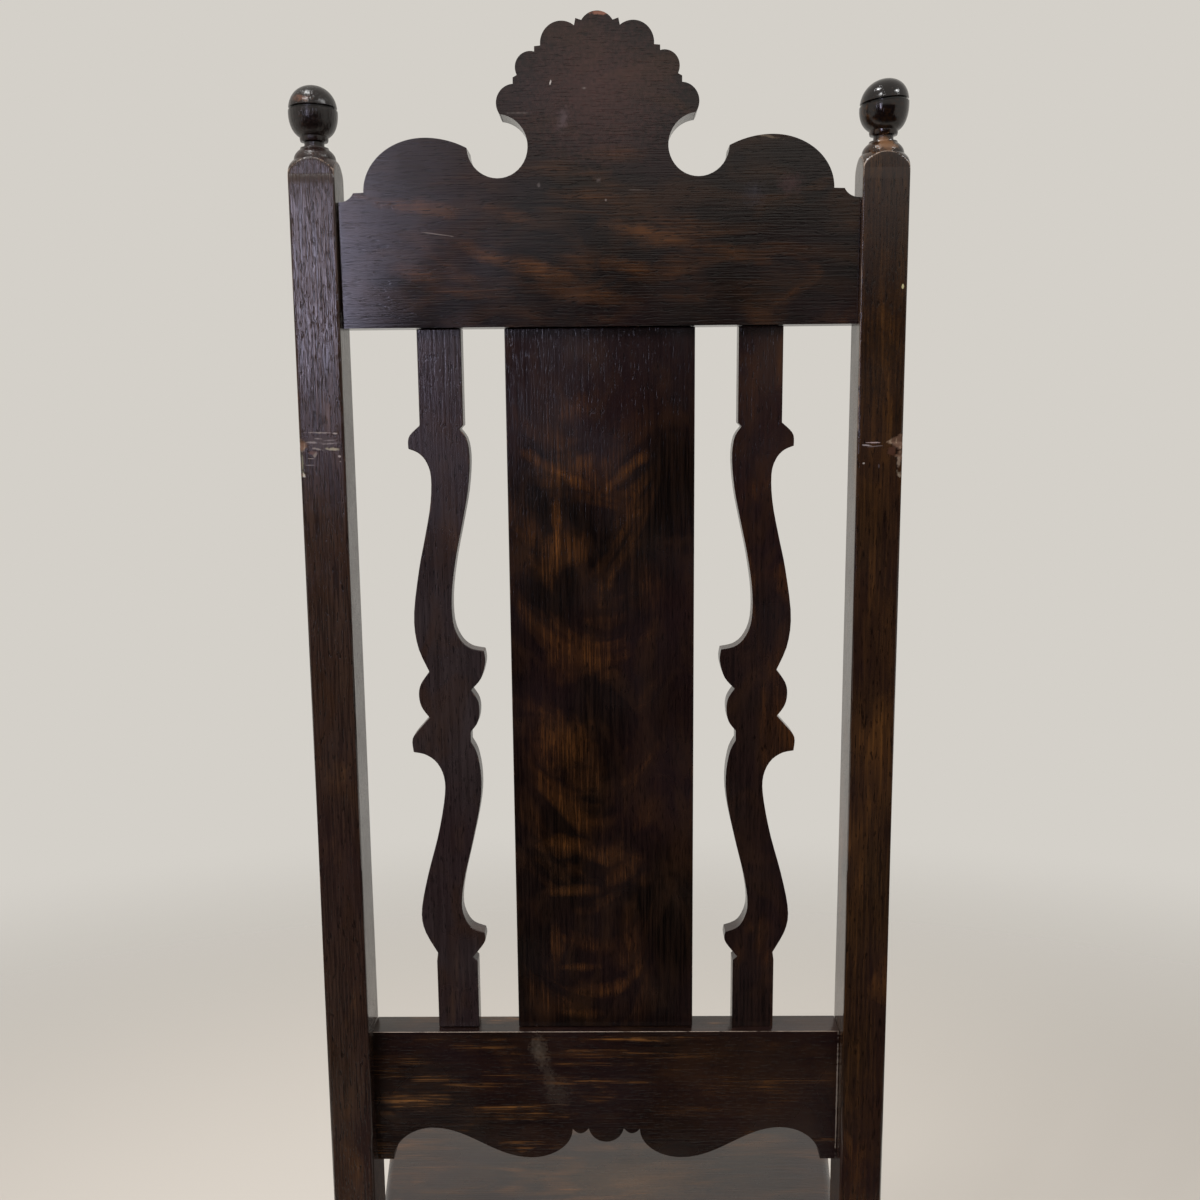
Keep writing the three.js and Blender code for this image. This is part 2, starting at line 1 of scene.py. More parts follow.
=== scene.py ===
# %% [markdown]
# # A high-back hall chair in dark varnished oak
#
# This lesson dresses a finished CAD model of an old hall chair: two raked posts with turned
# finials, a scalloped crest, a centre splat between two scroll splats, and a board seat on turned
# legs. The real chair is oak, stained nearly black and varnished, and rubbed along its arrises.
# Each CAD part stays where it is, and a finer piece in a finish of its own stands for it.

# %% Load the frame
import math

import bmesh
import bpy
import numpy as np
from mathutils import Matrix, Vector, noise


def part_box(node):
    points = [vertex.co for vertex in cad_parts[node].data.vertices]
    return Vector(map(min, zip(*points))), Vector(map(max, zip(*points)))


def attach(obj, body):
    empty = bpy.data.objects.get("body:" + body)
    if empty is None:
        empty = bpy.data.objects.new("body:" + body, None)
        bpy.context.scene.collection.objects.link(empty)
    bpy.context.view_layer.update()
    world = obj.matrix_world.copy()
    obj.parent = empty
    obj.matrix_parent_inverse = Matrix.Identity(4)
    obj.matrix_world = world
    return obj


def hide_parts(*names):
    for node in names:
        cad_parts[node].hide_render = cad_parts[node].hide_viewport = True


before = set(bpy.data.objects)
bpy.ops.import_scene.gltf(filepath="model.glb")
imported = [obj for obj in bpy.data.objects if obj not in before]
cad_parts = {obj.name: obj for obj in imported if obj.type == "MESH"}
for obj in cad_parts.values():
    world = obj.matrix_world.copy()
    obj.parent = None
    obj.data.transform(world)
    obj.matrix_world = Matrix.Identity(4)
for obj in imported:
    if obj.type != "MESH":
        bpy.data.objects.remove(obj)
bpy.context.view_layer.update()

# %% [markdown]
# ## Sizes, colours and nodes
#
# Blender works in metres and the chair was drawn in millimetres, so lengths are written in
# millimetres and multiplied by MM. A colour is written as the sRGB hex value that a paint chart
# would give, and one function turns it into the linear values that the shaders use. Another adds
# a node of any kind with its settings and links, which keeps each material short.

# %% Small helpers
MM = 0.001


def colour(text):
    """Linear colour with alpha from an sRGB hex value such as 'c8b49a'."""
    parts = [int(text[i:i + 2], 16) / 255 for i in (0, 2, 4)]
    return [c / 12.92 if c < 0.04045 else ((c + 0.055) / 1.055) ** 2.4 for c in parts] + [1.0]


def add(tree, kind, inputs=(), **settings):
    """A node with its settings. An input is a value, a socket, or a node by its first output.

    The inputs come in the node's own order, or else each by its name or number.
    """
    node = tree.nodes.new(kind)
    for key, value in settings.items():
        setattr(node, key, value)
    for key, value in inputs.items() if isinstance(inputs, dict) else enumerate(inputs):
        if isinstance(value, bpy.types.Node):
            value = value.outputs[0]
        if isinstance(value, bpy.types.NodeSocket):
            tree.links.new(value, node.inputs[key])
        else:
            node.inputs[key].default_value = value
    return node


def new_object(name, mesh):
    piece = bpy.data.objects.new(name, mesh)
    bpy.context.scene.collection.objects.link(piece)
    return piece


def blank_material(name):
    material = bpy.data.materials.new(name)
    material.use_nodes = True
    material.node_tree.nodes.clear()
    return material


print("1 mm is", MM, "m, and black varnish 1b110c is", [round(c, 4) for c in colour("1b110c")[:3]])

# %% [markdown]
# ## The raked back
#
# The back leans seven degrees about the front edge of the lower rail. Points on it are easiest to
# give as they would be marked on a bench: across, into the depth, and up the back. One matrix
# turns such a point into the chair's place in the room, and its inverse turns it back.

# %% The back's own axes
RAKE = math.radians(7)
FOOT_DEPTH, FOOT_HEIGHT = 135.3, 530
BACK_FOOT = Vector((0, FOOT_DEPTH * MM, FOOT_HEIGHT * MM))
TO_BACK = Matrix.Translation(BACK_FOOT) @ Matrix.Rotation(-RAKE, 4, "X")


def on_bench(point):
    """A point of the room, in metres, as across, depth and height on the back in millimetres."""
    return (TO_BACK.inverted() @ point) / MM


splat_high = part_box("centre_splat")[1]
print("the splat's rear corner lies at", [round(v, 1) for v in on_bench(Vector(splat_high))])

# %% [markdown]
# ## The viewpoint
#
# The photographer stood behind the chair, a little to one side, and looked slightly down. The
# position and the three small angles come from fitting a pinhole camera to the straight edges of
# the boards, so the model falls on the photograph's outline without any shift.

# %% Camera
CAMERA_PLACE = Vector((-0.00885, 1.05085, 0.98881))
YAW, PITCH, ROLL = (math.radians(a) for a in (0.689, 2.400, -0.418))

view = new_object("viewpoint", bpy.data.cameras.new("viewpoint"))
view.data.sensor_width = 36
view.data.lens = 36
ahead = Vector((math.sin(YAW) * math.cos(PITCH), -math.cos(YAW) * math.cos(PITCH),
                -math.sin(PITCH)))
level = ahead.cross(Vector((0, 0, 1))).normalized()
upright = level.cross(ahead)
across = level * math.cos(ROLL) + upright * math.sin(ROLL)
over = upright * math.cos(ROLL) - level * math.sin(ROLL)
turn = Matrix((across, over, -ahead)).transposed().to_4x4()
view.matrix_world = Matrix.Translation(CAMERA_PLACE) @ turn
bpy.context.scene.camera = view
print("camera stands", round(CAMERA_PLACE.y - BACK_FOOT.y, 3), "m behind the back")

# %% [markdown]
# ## The studio
#
# Dark varnish shows the room more than it shows itself. The rear faces of the boards mirror what
# lies behind the viewer, and the thin side faces mirror the wall in front. So the surroundings
# are pale, and a dark card lies at the viewer's feet and stands up behind, where only reflections
# meet it, as a photographer hangs black cloth to keep polished wood dark. The floor is matt and
# fades out into the surroundings, so no line crosses the picture behind the chair.

# %% Pale surroundings
WALL = "d4d0c9"


def pale_surroundings(as_light):
    """Surroundings of full strength to the eye and in reflections, and weaker as a light."""
    world = bpy.data.worlds.new("pale studio")
    world.use_nodes = True
    tree = world.node_tree
    tree.nodes.clear()
    ray = add(tree, "ShaderNodeLightPath").outputs
    seen = add(tree, "ShaderNodeMath", (ray["Is Camera Ray"], ray["Is Glossy Ray"]),
               operation="MAXIMUM")
    seen = add(tree, "ShaderNodeMath", (seen, ray["Is Transmission Ray"]), operation="MAXIMUM")
    strength = add(tree, "ShaderNodeMapRange", {"Value": seen, "To Min": as_light})
    light = add(tree, "ShaderNodeBackground", {"Color": colour(WALL), "Strength": strength})
    add(tree, "ShaderNodeOutputWorld", {"Surface": light})
    bpy.context.scene.world = world


pale_surroundings(0.3)
print("world:", bpy.context.scene.world.name)

# %% Floor and dark card
def stage_piece(name, corners, faces, material):
    mesh = bpy.data.meshes.new(name)
    mesh.from_pydata(corners, [], faces)
    mesh.materials.append(material)
    piece = new_object(name, mesh)
    return piece


def matt(tree, hex_value):
    return add(tree, "ShaderNodeBsdfPrincipled", {
        "Base Color": colour(hex_value), "Roughness": 0.9, "Specular IOR Level": 0.1})


def fading_floor(hex_value, solid_to, gone_at):
    """A floor that is whole out to solid_to metres and clear from gone_at on."""
    material = blank_material("matt studio floor")
    tree = material.node_tree
    place = add(tree, "ShaderNodeTexCoord").outputs["Object"]
    distance = add(tree, "ShaderNodeVectorMath", (place,), operation="LENGTH").outputs["Value"]
    gone = add(tree, "ShaderNodeMapRange", (distance, solid_to, gone_at),
               interpolation_type="SMOOTHSTEP")
    clear = add(tree, "ShaderNodeBsdfTransparent")
    both = add(tree, "ShaderNodeMixShader", (gone, matt(tree, hex_value), clear))
    add(tree, "ShaderNodeOutputMaterial", {"Surface": both})
    return material


def black_cloth():
    material = blank_material("black cloth")
    tree = material.node_tree
    add(tree, "ShaderNodeOutputMaterial", {"Surface": matt(tree, "0c0b0b")})
    return material


FLOOR_REACH, RIM_POINTS = 3.4, 64
turns = np.linspace(0, 2 * math.pi, RIM_POINTS, endpoint=False)
rim = [(FLOOR_REACH * math.cos(a), FLOOR_REACH * math.sin(a), 0) for a in turns]
stage_piece("studio_floor", rim, [range(RIM_POINTS)],
            fading_floor("c6bfb6", solid_to=0.9, gone_at=3.2))

CARD_HALF, CARD_LIFT = 2.2, 0.004
CARD_NEAR, CARD_FAR, CARD_TOP = 0.62, 2.4, 1.28
card = stage_piece("dark_card", [
    (-CARD_HALF, CARD_NEAR, CARD_LIFT), (CARD_HALF, CARD_NEAR, CARD_LIFT),
    (CARD_HALF, CARD_FAR, CARD_LIFT), (-CARD_HALF, CARD_FAR, CARD_LIFT),
    (CARD_HALF, CARD_FAR, CARD_TOP), (-CARD_HALF, CARD_FAR, CARD_TOP),
], [(0, 1, 2, 3), (3, 2, 4, 5)], black_cloth())
card.visible_camera = card.visible_diffuse = card.visible_shadow = False
print("stage pieces: floor", 2 * FLOOR_REACH, "m across, and a card", CARD_TOP, "m high")

# %% [markdown]
# ## Lamps
#
# The key is a soft window high on the left behind the viewer, and a wide soft light overhead fills
# the front of the chair and the floor. Both stay out of the reflections, since their glare would
# fog the dark varnish. The small lamps are the ones that the varnish shows: a low window on the
# left that lays a grey sheen on the left post, and three more that put sharp glints on the balls.

# %% Lamps
def soft_lamp(name, at, aim, size, watts, hex_value="ffffff", glint=True):
    lamp = bpy.data.lights.new(name, "AREA")
    lamp.shape = "RECTANGLE"
    lamp.size, lamp.size_y = size
    lamp.energy = watts
    lamp.color = colour(hex_value)[:3]
    shade = new_object(name, lamp)
    shade.location = at
    shade.rotation_mode = "QUATERNION"
    shade.rotation_quaternion = (Vector(aim) - Vector(at)).to_track_quat("-Z", "Y")
    shade.visible_camera = False
    shade.visible_glossy = glint


soft_lamp("high_left_window", (1.25, 1.75, 2.25), (0, 0.1, 0.9), (0.7, 0.9), 42, glint=False)
soft_lamp("overhead", (0, -1.0, 2.7), (0, -0.2, 0), (2.4, 1.8), 62, glint=False)
soft_lamp("low_left_window", (0.75, 2.2, 1.17), (0.1, 0.1, 1.1), (0.24, 0.56), 5.6, "e4e0ff")
soft_lamp("right_window", (-1.35, 1.10, 2.25), (0, 0.2, 1.3), (0.34, 0.24), 7)
soft_lamp("ceiling_lamp", (0.54, 0.77, 2.60), (0.19, 0.2, 1.3), (0.28, 0.20), 9)
soft_lamp("left_window", (0.70, 1.61, 2.28), (-0.19, 0.2, 1.3), (0.24, 0.18), 6.5)

# %% [markdown]
# ## Varnished oak
#
# Oak has long open pores, broad bands of early and late wood, and warm flames where the saw has
# run across the bands. Stain sinks into the pores and leaves them blackest, and where it is rubbed
# the orange of the old shellac shows in fine lines. The varnish lies over all of it with an index
# of refraction of 1.5, smooth where it is whole and dull where hands and cloths have rubbed it.
#
# Everything is drawn in the board's own axes, stretched along the grain. A pore is about 1 mm
# across and 7 mm long here, and a fibre 1.2 to 1.6 mm across, a little coarser than in life, so
# that they show.
#
# A scratch, a spot or a stain could be painted in an image, but a short list of centres and half
# sizes says the same and stays sharp. The same list holds a few painted highlights, painted
# reflections and patches of painted shade. Noise tears the outline of each, in bites of about 2 mm
# for a mark and 12 mm for a patch of thin stain.

# %% Wear and painted light that have a place of their own
BOARD_REAR = 24.0  # depth of the crest's and the lower rail's rear faces
THROUGH_BOARD = 90  # deep enough for a patch to show on both faces
RAGGED = 1.6  # how strongly noise tears an outline
OUTLINE = 1 + RAGGED / 2
PATCH_ENDS, PATCH_WHOLE = 2.1, 0.9
STAIN_SOFTNESS = 1


def mark(across, up, half_across, half_up, tilt, hex_value, strength,
         soft=0.3, deep=BOARD_REAR, half_deep=6.0):
    """A scratch, chip, stain, painted highlight, painted reflection or patch of painted shade on
    the back: its centre and half sizes in millimetres.
    """
    return ((across, deep, up), (half_across, half_deep, half_up), tilt, hex_value, strength, soft)


def torn_reach(tree, bench, ragged, centre, half, tilt):
    """How far a point lies from a mark's centre, with OUTLINE at its ragged edge.

    The reach is 1 at the half sizes, and the noise that is added averages a half.
    """
    local = add(tree, "ShaderNodeMapping", {
        "Vector": bench, "Location": [v * MM for v in centre], "Scale": [v * MM for v in half],
        "Rotation": (0, -math.radians(tilt), 0)}, vector_type="TEXTURE")
    reach = add(tree, "ShaderNodeVectorMath", (local,), operation="LENGTH").outputs["Value"]
    return add(tree, "ShaderNodeMath", (ragged, RAGGED, reach), operation="MULTIPLY_ADD")


def wear_and_painted_light_marks(tree, bench, skin, marks):
    """Paint the marks over a skin colour, painted light among them. Returns the new skin and a mask
    of the sharp-edged marks: the scars and painted highlight lines.
    """
    ragged = add(tree, "ShaderNodeTexNoise", {"Vector": bench, "Scale": 480.0, "Detail": 4.0})
    scars_and_painted_lines = 0.0
    for centre, half, tilt, hex_value, strength, soft in marks:
        torn = torn_reach(tree, bench, ragged, centre, half, tilt)
        inside = add(tree, "ShaderNodeMapRange", (torn, OUTLINE, OUTLINE - soft, 0.0, strength))
        skin = add(tree, "ShaderNodeMix", {0: inside, 6: skin, 7: colour(hex_value)},
                   data_type="RGBA").outputs[2]
        if soft < STAIN_SOFTNESS:
            # sharp-edged marks, the scars and a painted highlight line, count as broken varnish;
            # softer marks, the stains, painted shade and painted reflections, lie underneath it
            scars_and_painted_lines = add(tree, "ShaderNodeMath", (inside, scars_and_painted_lines), operation="MAXIMUM")
    return skin, scars_and_painted_lines


def thin_stain(tree, bench, flame, patches):
    """Lay patches of thin stain over the flames: centre, half sizes, tilt and strength."""
    ragged = add(tree, "ShaderNodeTexNoise", {"Vector": bench, "Scale": 85.0, "Detail": 3.0})
    for across, up, half_across, half_up, tilt, strength in patches:
        torn = torn_reach(tree, bench, ragged, (across, BOARD_REAR, up),
                          (half_across, THROUGH_BOARD, half_up), tilt)
        thin = add(tree, "ShaderNodeMapRange", (torn, PATCH_ENDS, PATCH_WHOLE, 0.0, strength))
        flame = add(tree, "ShaderNodeMath", (thin, flame), operation="MAXIMUM")
    return flame


print("a mark is", len(mark(0, 0, 1, 1, 0, "ffffff", 1.0)), "values")

# %% [markdown]
# ## Flames
#
# Where a board was sawn nearly along the growth rings, its figure is a stack of warm flames that
# sag in the middle. Noise that is only stretched gives level clouds, so it is drawn here in a
# space that is bent first: the height of a point is lowered by the square of its distance from
# the middle, and level clouds become bowls. A flame is about 45 mm high.

# %% Flames across a board
SIDE_FADE, TOP_FADE, LOW_FADE = 18, 80, 40


def bowed_flames(tree, bench, shift, centre, bend, reach, low, high, depth):
    """Warm bands that sag across a board, out to reach on either side of its centre line.

    bend is the sag in metres at a metre from that line, and the other lengths are millimetres.
    """
    part = add(tree, "ShaderNodeSeparateXYZ", (bench,)).outputs
    off = add(tree, "ShaderNodeMath", (part["X"], centre * MM), operation="SUBTRACT")
    square = add(tree, "ShaderNodeMath", (off, off), operation="MULTIPLY")
    sag = add(tree, "ShaderNodeMath", (square, -bend, part["Z"]), operation="MULTIPLY_ADD")
    bowl = add(tree, "ShaderNodeCombineXYZ", (off, part["Y"], sag))
    laid = add(tree, "ShaderNodeMapping", {
        "Vector": bowl, "Scale": (0.6, 1, 1), "Location": (0, 0, shift)})
    flame = add(tree, "ShaderNodeTexNoise", {
        "Vector": laid, "Scale": 22.0, "Detail": 4.0, "Distortion": 1.3})
    band = add(tree, "ShaderNodeMapRange", (flame, 0.48, 0.68, 0.0, depth))
    away = add(tree, "ShaderNodeMath", (off,), operation="ABSOLUTE")
    for value, outside, inside in (
        (away, reach + SIDE_FADE, reach - SIDE_FADE),
        (part["Z"], high, high - TOP_FADE),
        (part["Z"], low, low + LOW_FADE),
    ):
        fade = add(tree, "ShaderNodeMapRange", (value, outside * MM, inside * MM),
                   interpolation_type="SMOOTHSTEP")
        band = add(tree, "ShaderNodeMath", (band, fade), operation="MULTIPLY")
    return band


print("flames fade over", 2 * SIDE_FADE, "mm at each side")

# %% [markdown]
# ## The finish in layers
#
# The finish is built in the order in which the real one came about. Fibres, clouds of stain and
# flames make the wood, and the pores are blackest. Then comes what time has taken: the rubbed
# arrises, the bare wood of the chips and the marks. A few marks are painted light instead: a
# highlight, two reflections and a patch of shade. Wear also dulls the varnish, and a scar sinks
# into it, so the same masks drive the roughness and the relief.

# %% The varnished oak finish
CLOUD, WARM_PATCH, PORE = "201214", "2f1d11", "050303"
RUBBED_THIN, RUBBED_BARE = "5f4433", "a08f80"
BARE_DARK, BARE_LIGHT = "5a4030", "86705c"


def varnished_oak(name, grain, lean=RAKE, shift=0.0, stain=("0e0807", "1c120d", "4a2b12"),
                  figure=0.4, gloss=(0.17, 0.30), tooth=0.32, flames=None, thin=(), marks=(),
                  fineness=620.0, lined=0.5):
    """Oak with its grain along an axis. stain gives its dark wood, its light wood and its flames.

    figure is how much of a board glows, and lined is how far fine lines break up the glow.
    fineness is fibres to the metre, tooth is the strength of the relief, and gloss is the least
    and the most roughness of whole varnish.
    """
    material = blank_material(name)
    tree = material.node_tree
    origin = BACK_FOOT if lean else Vector((0, 0, 0))
    bench = add(tree, "ShaderNodeMapping", {
        "Vector": add(tree, "ShaderNodeTexCoord").outputs["Object"], "Rotation": (lean, 0, 0),
        "Location": -(Matrix.Rotation(lean, 3, "X") @ origin)})

    def patterned(along, scale, detail, distortion=0.0):
        """Noise with scale cells to the metre across the grain, and along times that along it."""
        size = [1.0, 1.0, 1.0]
        size["xyz".index(grain)] = along
        laid = add(tree, "ShaderNodeMapping", {
            "Vector": bench, "Scale": size, "Location": [shift] * 3})
        return add(tree, "ShaderNodeTexNoise", {
            "Vector": laid, "Scale": scale, "Detail": detail, "Distortion": distortion})

    # the wood: fibres, pores, clouds of stain 77 mm wide, and flames 42 mm wide in bands of 13 mm
    fibre = patterned(0.035, fineness, 3.0)
    streak = add(tree, "ShaderNodeMapRange", (fibre, 0.36, 0.64))
    line = add(tree, "ShaderNodeMapRange", (fibre, 0.52, 0.6))
    pore = add(tree, "ShaderNodeMapRange", (patterned(0.14, 950.0, 1.0), 0.6, 0.68))
    cloud = add(tree, "ShaderNodeMapRange", (patterned(0.6, 13.0, 2.0), 0.38, 0.62))
    warm = add(tree, "ShaderNodeMapRange", (patterned(0.5, 34.0, 3.0, 1.2), 0.48, 0.68, 0.0, 0.42))
    if flames:
        flame = bowed_flames(tree, bench, shift, **flames)
    else:
        band = add(tree, "ShaderNodeMapRange", (patterned(0.12, 75.0, 2.0, 0.6), 0.36, 0.64))
        flame = add(tree, "ShaderNodeMapRange", (
            patterned(0.42, 24.0, 3.0, 1.6), 0.62 - 0.2 * figure, 0.86 - 0.2 * figure))
        flame = add(tree, "ShaderNodeMath", (flame, band), operation="MULTIPLY")
    flame = thin_stain(tree, bench, flame, thin)
    lines = add(tree, "ShaderNodeMath", (line, lined, 1.0 - lined), operation="MULTIPLY_ADD")
    glow = add(tree, "ShaderNodeMath", (lines, flame), operation="MULTIPLY")

    # arrises: noise nibbles at the rub, so its edge wanders by a few millimetres
    arris = add(tree, "ShaderNodeAttribute", attribute_name="arris").outputs["Fac"]
    nibble = add(tree, "ShaderNodeTexNoise", {
        "Vector": bench, "Scale": 90.0, "Detail": 5.0, "Roughness": 0.65})
    rub = add(tree, "ShaderNodeMath", (arris, 0.5, nibble), operation="MULTIPLY_ADD")
    rub = add(tree, "ShaderNodeMapRange", (rub, 0.80, 0.98))
    near = add(tree, "ShaderNodeMapRange", (arris, 0.0, 0.2))
    rubbed = add(tree, "ShaderNodeMath", (rub, near), operation="MULTIPLY")
    deep = add(tree, "ShaderNodeMapRange", (arris, 0.6, 1.0))
    pale = add(tree, "ShaderNodeMix", {0: deep, 6: colour(RUBBED_THIN), 7: colour(RUBBED_BARE)},
               data_type="RGBA").outputs[2]

    # chips show the fibres of bare wood
    lost = add(tree, "ShaderNodeAttribute", attribute_name="lost_wood").outputs["Fac"]
    bare = add(tree, "ShaderNodeMix", {0: line, 6: colour(BARE_DARK), 7: colour(BARE_LIGHT)},
               data_type="RGBA").outputs[2]

    # the skin, layer over layer, with a share of each
    skin = colour(stain[0])
    for share, most, layer in (
        (streak, 1, colour(stain[1])), (cloud, 0.55, colour(CLOUD)), (warm, 1, colour(WARM_PATCH)),
        (glow, 1, colour(stain[2])), (pore, 0.65, colour(PORE)), (rubbed, 0.8, pale),
        (lost, 1, bare),
    ):
        if most < 1:
            share = add(tree, "ShaderNodeMath", (share, most), operation="MULTIPLY")
        skin = add(tree, "ShaderNodeMix", {0: share, 6: skin, 7: layer},
                   data_type="RGBA").outputs[2]
    skin, scars_and_painted_lines = wear_and_painted_light_marks(tree, bench, skin, marks)

    # varnish: smeared dull and bright, duller where it is worn, and sunk at pores, scars and sharp
    # painted lines
    smear = add(tree, "ShaderNodeTexNoise", {"Vector": bench, "Scale": 16.0, "Detail": 3.0})
    dull = add(tree, "ShaderNodeMapRange", (smear, 0.35, 0.65, *gloss))
    worn = add(tree, "ShaderNodeMath", (rubbed, lost), operation="MAXIMUM")
    worn = add(tree, "ShaderNodeMath", (worn, scars_and_painted_lines), operation="MAXIMUM")
    rough = add(tree, "ShaderNodeMath", (worn, 0.28, dull), operation="MULTIPLY_ADD")
    hollow = add(tree, "ShaderNodeMath", (scars_and_painted_lines, 0.6, pore), operation="MULTIPLY_ADD")
    relief = add(tree, "ShaderNodeMath", (hollow, -1.0, streak), operation="MULTIPLY_ADD")
    bump = add(tree, "ShaderNodeBump", {"Height": relief, "Strength": tooth, "Distance": 0.14 * MM})
    surface = add(tree, "ShaderNodeBsdfPrincipled", {
        "Base Color": skin, "Roughness": rough, "IOR": 1.5, "Normal": bump})
    add(tree, "ShaderNodeOutputMaterial", {"Surface": surface})
    print(f"{name}: {len(tree.nodes)} nodes")
    return material


# %% [markdown]
# ## Boards with rubbed arrises
#
# A sawn board has sharp edges only on the day it is made. Each board is a copy of its CAD part
# with the flat faces joined up again and a small round worked along every edge that a hand can
# reach. The new strips carry an attribute called arris, which the finish reads to rub the colour
# thin: about a half where it is only touched, and one where the wood is worn bare. The ends that
# stand against the posts stay sharp, so the joints stay tight.

# %% Work an arris on a copy of a CAD part
WELD_WITHIN = 2e-6
FLAT_WITHIN = math.radians(0.6)
BOARD_CORNER = math.radians(38)
LIGHT_RUB, WORN_BARE = 0.45, 1.0
BOARD_END = 173.5


def eased(node, material, width=0.9, tight=None, rub=None):
    """Replace a CAD board by a copy with its arrises eased, except the edges that stay tight."""
    bm = bmesh.new()
    bm.from_mesh(bpy.data.objects[node].data)
    bmesh.ops.remove_doubles(bm, verts=bm.verts, dist=WELD_WITHIN)
    bmesh.ops.dissolve_limit(bm, angle_limit=FLAT_WITHIN, verts=bm.verts, edges=bm.edges)
    arris = bm.faces.layers.float.new("arris")
    reach = [e for e in bm.edges if len(e.link_faces) == 2
             and e.calc_face_angle() > BOARD_CORNER
             and not (tight and tight(e))]
    made = bmesh.ops.bevel(bm, geom=reach, offset=width * MM, offset_type="OFFSET", segments=3,
                           profile=0.5, affect="EDGES", clamp_overlap=True)
    for face in made["faces"]:
        face[arris] = rub(on_bench(face.calc_center_median())) if rub else LIGHT_RUB
    for face in bm.faces:
        face.smooth = True
    mesh = bpy.data.meshes.new(node + "_eased")
    bm.to_mesh(mesh)
    bm.free()
    mesh.set_sharp_from_angle(angle=BOARD_CORNER)
    mesh.materials.append(material)
    piece = new_object(node + "_eased", mesh)
    even = piece.modifiers.new("even shading", "WEIGHTED_NORMAL")
    even.keep_sharp = True
    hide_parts(node)
    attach(piece, "root")
    print(f"{piece.name}: {len(reach)} edges eased, {len(mesh.polygons)} faces")


def at_posts(edge):
    return all(abs(v.co.x) > BOARD_END * MM for v in edge.verts)


print("boards stay sharp from", BOARD_END, "mm off the middle")

# %% [markdown]
# ## The crest and the lower rail
#
# Both boards have their grain across the chair. The crest is scratched and spotted, its peak is
# rubbed to bare wood and its right shoulder is worn pale, and a warm reflection is painted over
# its top lobe. The lower rail has a thin bright edge along the top, where cloths and hands have
# polished the varnish away, a grey streaky patch left of its middle, and a thin painted highlight
# down its right end against the post. Every mark lies where the photograph shows it.

# %% Crest
crest_marks = (
    # painted reflection: a soft warm patch over the top lobe, the warm room above mirrored in the
    # varnish
    mark(0, 768, 60, 50, 0, "4a302d", 0.5, 1.2),
    mark(23, 750, 4.5, 9, 10, "4a3d3e", 0.5, 0.9),
    mark(-103, 702, 10, 9, 0, "302c33", 0.4, 1.1),
    mark(-127, 708, 10, 9, 0, "3c2827", 0.5, 0.9),
    mark(30.8, 772.7, 0.6, 1.7, 15, "b5aea7", 0.75, 0.3),
    mark(8.8, 769.2, 1.5, 1.0, 0, "6f6560", 0.45, 0.6),
    mark(53, 754.2, 10, 0.4, 0, "5d544e", 0.45, 0.5),
    mark(39.6, 708.4, 1.4, 2.0, 0, "5b524e", 0.5, 0.6),
    mark(-0.4, 711.5, 2.2, 1.7, 0, "544a46", 0.45, 0.7),
    mark(-4.9, 698.7, 0.7, 0.7, 0, "6b605a", 0.6, 0.4),
    mark(-25, 705, 7.5, 0.3, 0, "5f554f", 0.45, 0.5),
    mark(108.2, 678, 13.2, 0.32, 7.9, "7c726a", 0.5, 0.4),
    mark(-110, 738.4, 13.4, 1.0, 11.4, "6f6150", 0.45, 0.8),
    mark(-2, 815.6, 8, 1.6, 0, "7d5240", 0.8, 0.5),
)


def crest_rub(spot):
    peak = abs(spot.x) < 11 and spot.z > 811
    shoulder = -126 < spot.x < -92 and spot.z > 728
    return WORN_BARE if peak or shoulder else LIGHT_RUB


# across, up, half across, half up, tilt and strength of each patch of thin stain
crest_thin = (
    (119, 695, 26, 5, 8, 0.9), (75, 664, 22, 5, 20, 0.8), (42, 655, 24, 6, 16, 0.95),
    (-36, 676, 30, 7, 12, 0.85), (-22, 655, 28, 5, 10, 0.6), (-90, 664, 24, 5, 14, 0.6),
    (10, 638, 38, 5, 8, 0.55), (120, 652, 20, 6, 10, 0.6), (0, 700, 30, 6, 4, 0.5),
    (-10, 728, 20, 6, 0, 0.45), (60, 690, 20, 4, 14, 0.5), (92, 640, 30, 4, 6, 0.5),
)
crest_oak = varnished_oak("crest oak, stained and varnished", "x", figure=0.3, shift=0.31,
                          marks=crest_marks, thin=crest_thin, gloss=(0.14, 0.25), tooth=0.22,
                          fineness=820.0, stain=("0d0807", "17100e", "4e2f17"))
eased("crest_rail", crest_oak, tight=at_posts, rub=crest_rub)

# %% Lower rail
rail_marks = (
    mark(50, 89, 8, 15, -8, "6a5f52", 0.5, 1.5),
    mark(43, 70, 6, 18, -14, "51473d", 0.4, 1.5),
    mark(37, 55, 13, 16, -20, "4c4137", 0.42, 1.5),
    mark(-105, 62, 95, 60, 0, "2b1b10", 0.6, 1.2),
    # painted highlight: a thin pale line down the rail's right end, the light along its joint with
    # the post
    mark(-172.9, 50, 0.6, 52, 0, "8f8378", 0.6),
)
rail_thin = (
    (146, 48, 26, 7, 2, 0.9), (130, 66, 18, 3, 0, 0.6), (72, 42, 36, 3, -3, 0.8),
    (56, 36, 30, 3, -3, 0.6), (12, 86, 46, 3, 0, 0.75), (20, 78, 34, 2, 0, 0.5),
    (-22, 98, 62, 2, 0, 0.8), (-3, 64, 30, 2, 0, 0.7), (95, 92, 26, 2, 0, 0.5),
    (-110, 60, 44, 10, 0, 0.2), (-60, 84, 30, 4, 0, 0.25), (150, 80, 20, 3, 0, 0.4),
    (104, 60, 40, 3, 0, 0.45), (-70, 40, 40, 6, 0, 0.15),
)


def rail_rub(spot):
    """Only the rear arris of the top edge is worn bare."""
    return WORN_BARE if spot.z > 102 and spot.y > 21 else LIGHT_RUB


